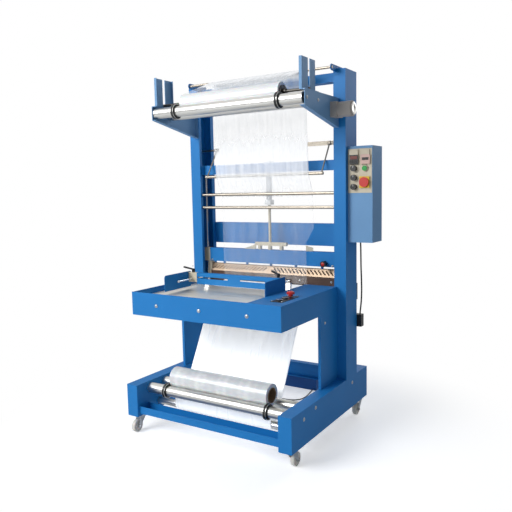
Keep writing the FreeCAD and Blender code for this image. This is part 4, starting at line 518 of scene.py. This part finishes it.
# White share of the upper film by height (m, share). It is near opaque from 1.87 m up, round the top rod,
# which is painted sheen of film seen edge-on. It is hazier at 1.32 to 1.48 m, in front of the rear beam.
haze_and_sheen_levels = ((0.0, 0.1), (2.0, 0.95), (1.18, 0.07), (1.32, 0.42), (1.48, 0.42), (1.6, 0.2), (1.84, 0.2),
               (1.87, 0.95))
upper_web = piece("upper_film_web", film_sheet(
    "upper_web", upper_line, lambda v: np.full_like(v, -300.0),
    lambda v: 300.0 - 50 * np.clip((v - 0.78) / 0.06, 0, 1), upper_creases),
    film("clear_film", 0.1, glow=0.12, levels=haze_and_sheen_levels), "machine_frame", "clear_film", "film_web_upper")
thickened(upper_web, 0.3)

# --- Upper film roll: a wide roll on a steel shaft that lies in two open forks ---
# The same film as below; a chuck clamped on the shaft grips the core at each end.
low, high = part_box("film_roll_top")
dress(wound_film("upper_wound_film", (low.y + high.y) / 2, (low.z + high.z) / 2), "film_roll_top")
dark_steel = metal("turned_dark_steel", "#54524F", 0.38, 0.08)
dress(dark_steel, "film_shaft")

# --- Bars: the top rod, two film tubes, the dancer and the stop bar ---
# Drawn steel tube with a warm nickel finish; black caps are pushed into both ends of the two film tubes.
warm_steel = metal("nickelled_tube", "#A49C90", 0.36, 0.06, (0.02, 1, 1))
dress(warm_steel, "film_tubes", "dancer")
tube_y, tube_heights = 630.5, (1186, 1261)
caps = [turned([(0, 0), (0, 8.5), (1.5, 8.5), (2, 7.5), (2, 0)], at(497, tube_y, z), "x", 32)
        for z in tube_heights]
caps += [turned([(0, 0), (0, 7), (-2, 7), (-2, 0)], at(-498, tube_y, z), "x", 24) for z in tube_heights]
piece("bar_caps", closed(grid_mesh("bar_caps", caps)), black, "machine_frame", "black_plastic")

# --- Table: a folded blue tray with a polished stainless plate laid in it ---
# The plate is satin-bright sheet with fine rubbing lines along its length; the tray has a round hem in front.
dress(metal("polished_stainless", "#EFE8DA", 0.5, 0.06, (0.05, 1, 1)), "table_plate")
hem = [turned([(0, 0), (0, 2.2), (896, 2.2), (896, 0)], at(-448, 15.5, 767.4), "x", 20)]
piece("table_hem", closed(grid_mesh("table_hem", hem)), blue_coat, "machine_frame", "blue_paint")

# --- Product fence: a slotted blue strip on two rods, clamped by ratchet levers ---
# The blocks are cast polyamide, the rods chromed, and each lever is black with a zinc screw on top.
# A white cap is pushed on the front end of the left rod.
beige = moulded("beige_polyamide", "#CFC5AE", 0.5, 0.15)
dress(beige, "fence_blocks")
chrome = metal("hard_chrome", "#D9DADB", 0.14, 0.03, (1, 1, 0.05))
dress(chrome, "fence_rods", "guide_rods")
dress(black, "lever_left", "lever_right")
for side, x, y in (("left", -328, 380.5), ("right", 212, 400.5)):
    head = turned([(0, 0), (0, 4.6), (1.6, 4.6), (2.4, 3.6), (2.4, 2.2), (0.8, 2.2), (0.8, 0)],
                  at(x, y, 865.3), "z", 24)
    piece("lever_screw_" + side, closed(grid_mesh("lever_screw", [head])), zinc, side + "_lever",
          "zinc_steel")
tip = turned([(2, 5.2), (2, 6.4), (-3, 6.4), (-5, 5), (-5, 0), (2, 0), (2, 5.2)], at(-327, 252, 796), "y", 32)
piece("rod_tip", closed(grid_mesh("rod_tip", [tip])), moulded("white_cap", "#E4E4E0", 0.4), "machine_frame",
      "white_nylon")

# --- Push buttons: a black plate with two blue keys and a red mushroom stop ---
# Moulded plastic parts; the plate is screwed to the table's right shoulder with four small screws.
dress(black, "button_plate")
key_blue = moulded("blue_key", "#1B4E8C", 0.35, 0.1)
dress(key_blue, "push_button_front")
dress(moulded("dark_key", "#1E2A3A", 0.35, 0.1), "push_button_rear")
dress(moulded("red_mushroom", "#C7201C", 0.28, 0.0), "emergency_stop")
ring_line = [(0, 12.2), (0, 14.6), (1.6, 14.6), (2.4, 13.6), (2.4, 12.2), (0, 12.2)]
rings = [turned(ring_line, at(376.5, y, 776), "z", 40) for y in (125, 180)]
piece("key_rings", closed(grid_mesh("key_rings", rings)), zinc, "machine_frame", "black_plastic")
tacks = [screw(at(x, y, 770), "z", 1, 2.2) for x in (350.5, 402.5) for y in (100, 256)]
piece("plate_screws", closed(grid_mesh("plate_screws", tacks)), zinc, "machine_frame", "zinc_steel")

# --- Sealing jaw: a slotted steel cover over a brown insulating band, on a blue beam ---
# The cover is 2 mm brushed sheet, warm-toned by heat; the band is laminated phenolic.
dress(metal("brushed_cover_sheet", "#A08C78", 0.34, 0.07, (0.05, 1, 1)), "jaw_cover")
laminate, laminate_tree, laminate_shader = new_material("phenolic_band", Base_Color=srgb("#442C22"),
                                                        Roughness=0.42)
grain_place = add_node(laminate_tree, "ShaderNodeTexCoord").outputs["Object"]
grain_map = add_node(laminate_tree, "ShaderNodeMapping", {"Vector": grain_place, "Scale": (0.05, 1, 1)})
grain = add_node(laminate_tree, "ShaderNodeTexNoise", {"Vector": grain_map.outputs[0], "Scale": 260.0,
                                                       "Detail": 4.0})
grain_tone = add_node(laminate_tree, "ShaderNodeMix", {0: grain.outputs["Fac"], 6: srgb("#38231A"),
                                                       7: srgb("#503629")},
                      data_type="RGBA")
laminate_tree.links.new(grain_tone.outputs[2], laminate_shader.inputs["Base Color"])
dress(laminate, "jaw_band")
dress(moulded("silicone_pad", "#3A2A26", 0.6, 0.25), "lower_jaw")
dress(beige, "jaw_yoke", "jaw_bearings")
bolts = [screw(at(x, 664, 780), "y", -1, 4.2) for x in (-392, -200, 0, 200, 392)]
piece("band_screws", closed(grid_mesh("band_screws", bolts)), zinc, "jaw", "zinc_steel")
beam_bolts = [screw(at(x, 664, 868), "y", -1, 5.0) for x in (-400, 400)]
piece("beam_screws", closed(grid_mesh("beam_screws", beam_bolts)), zinc, "jaw", "zinc_steel")
dress(black, "jaw_knob")
cap = turned([(0, 0), (0, 10), (-1.5, 9.4), (-2.6, 7), (-3.0, 0)], at(355, 634, 880), "y", 40)
piece("knob_cap", closed(grid_mesh("knob_cap", [cap])), moulded("red_cap", "#B3241E", 0.35), "jaw",
      "red_plastic")

# --- Air cylinder: an extruded aluminium barrel between two caps, held by the upper beam ---
# Clear-anodised, so it is pale and satin.
dress(metal("anodised_barrel", "#C5C8CA", 0.34, 0.05, (1, 1, 0.05)), "cylinder")

# --- Control box: a folded blue case with a beige panel and its instruments ---
# The panel is textured sheet; instruments, knobs and switch are moulded and pushed in from the front.
dress(moulded("textured_panel", "#C9BFA9", 0.55, 0.3), "control_panel")
black_face = moulded("instrument_face", "#101214", 0.2)
front = 630.0


def brick(low, high):
    """A box as a grid: four corners carried up through an inner and an outer ring, closed at both ends."""
    (x0, y0, z0), (x1, y1, z1) = low, high
    ring = np.array([[x0, y0], [x1, y0], [x1, y1], [x0, y1]])
    middle = np.tile(ring.mean(0), (4, 1))
    levels = [(middle, z0), (ring, z0), (ring, z1), (middle, z1)]
    return np.array([[[x, y, z] for x, y in corners] for corners, z in levels])


def rounded(thing, width, steps=2):
    """Rounds a piece's edges with a bevel, in millimetres."""
    bevel = thing.modifiers.new("edges", "BEVEL")
    bevel.width = width / 1000
    bevel.segments = steps
    bevel.limit_method = "ANGLE"
    return thing


def plate(name, x0, x1, z0, z1, depth, y, material, slot, width=1.2):
    """A thin rounded plate on the panel: its four corners are carried from the panel's face outwards."""
    mesh = closed(grid_mesh(name, [brick(at(x0, y - depth, z0), at(x1, y, z1))]))
    return rounded(piece(name, mesh, material, "machine_frame", slot), width)


plate("controller_face", 513.0, 561.0, 1404.0, 1452.0, 1.4, front, black_face, "black_plastic")
glow = new_material("segment_display", Base_Color=srgb("#2B0C08"), Roughness=0.2,
                    Emission_Color=srgb("#D9442A"), Emission_Strength=0.15)[0]
plate("controller_window", 518.0, 556.0, 1430.0, 1446.0, 0.6, front - 1.4, glow, "black_plastic", 0.2)
plate("counter_face", 574.0, 624.0, 1404.0, 1452.0, 1.4, front, moulded("pink_counter", "#C9A69B", 0.4),
      "beige_blocks")
plate("counter_window", 581.0, 617.0, 1424.0, 1438.0, 0.6, front - 1.4, black_face, "black_plastic", 0.2)
dress(black, "dial_upper", "dial_middle", "dial_lower")
pointer = moulded("white_mark", "#E8E8E4", 0.5)
for name, z in (("upper", 1384.0), ("middle", 1337.0), ("lower", 1290.0)):
    mark = brick(at(535.2, 619.2, z + 2), at(536.8, 620.2, z + 13))
    piece("dial_mark_" + name, closed(grid_mesh("mark", [mark])), pointer, "timer_" + name, "black_plastic")
dress(moulded("red_handle", "#C2241D", 0.35, 0.1), "main_switch")
dress(moulded("green_lens", "#2E9A4A", 0.2), "green_button")
plate("switch_plate", 566.5, 621.5, 1284.0, 1342.0, 1.0, front, moulded("yellow_plate", "#D9B21F", 0.4),
      "beige_blocks", 0.8)

# --- Film drive: a worm gearbox and motor beside the right bracket ---
# Grey-brown castings with a bare turned end disc.
casting = moulded("painted_casting", "#A39D97", 0.5, 0.35)
dress(casting, "gear_motor")
disc = turned([(-1, 0), (-1, 31.5), (0.4, 31.5), (0.8, 30.5), (0.8, 12), (0.2, 11), (0.2, 0)],
              at(573, 546, 1673.5), "x", 48)
piece("motor_disc", closed(grid_mesh("motor_disc", [disc])), satin, "machine_frame", "satin_aluminium")

# --- Air supply: a valve block on the right column and a black hose up into the control box ---
# Polyurethane hose pushed into fittings at both ends.
dress(black, "valve_block", "cable_gland")
dress(moulded("polyurethane_hose", "#121315", 0.3, 0.0), "air_hose")

# --- Foot switch: a folded dark blue guard with a plain aluminium treadle ---
# The treadle is a satin plate that rocks on a pin.
dress(powder_coat("dark_blue_coat", "#24599B"), "pedal_base")
dress(satin, "pedal_treadle")

# --- Foot switch cable: PVC cable from the guard along the floor and up into the base ---
# Seven millimetres across, black and slightly glossy; it ends in the gland on the left rail.
route = [(80, 1044, 12), (83, 1003, 6.5), (87, 962, 3.9), (90, 920, 3.6), (84, 880, 3.6), (60, 849, 3.6),
         (22, 836, 3.6), (-20, 834, 3.6), (-64, 840, 3.6), (-110, 848, 3.6), (-158, 848, 3.6),
         (-203, 834, 3.6), (-240, 806, 3.6), (-268, 769, 3.6), (-296, 735, 6.5), (-325, 713, 18),
         (-347, 703, 42), (-360, 700, 72), (-373, 699.5, 99), (-391, 699.8, 114.5), (-412, 700, 118)]
lead = bpy.data.curves.new("foot_cable", "CURVE")
lead.dimensions = "3D"
line = lead.splines.new("NURBS")
line.points.add(len(route) - 1)
for point, place in zip(line.points, route):
    point.co = (*at(*place), 1.0)
line.order_u = 3
line.use_endpoint_u = True
lead.bevel_depth = 0.0035
lead.bevel_resolution = 4
lead.resolution_u = 8
lead.use_fill_caps = True
cable = bpy.data.objects.new("foot_cable", lead)
lead.materials.append(moulded("pvc_sheath", "#16171A", 0.45, 0.1))
scene.collection.objects.link(cable)
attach(cable, "machine_frame")
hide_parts("pedal_cable")
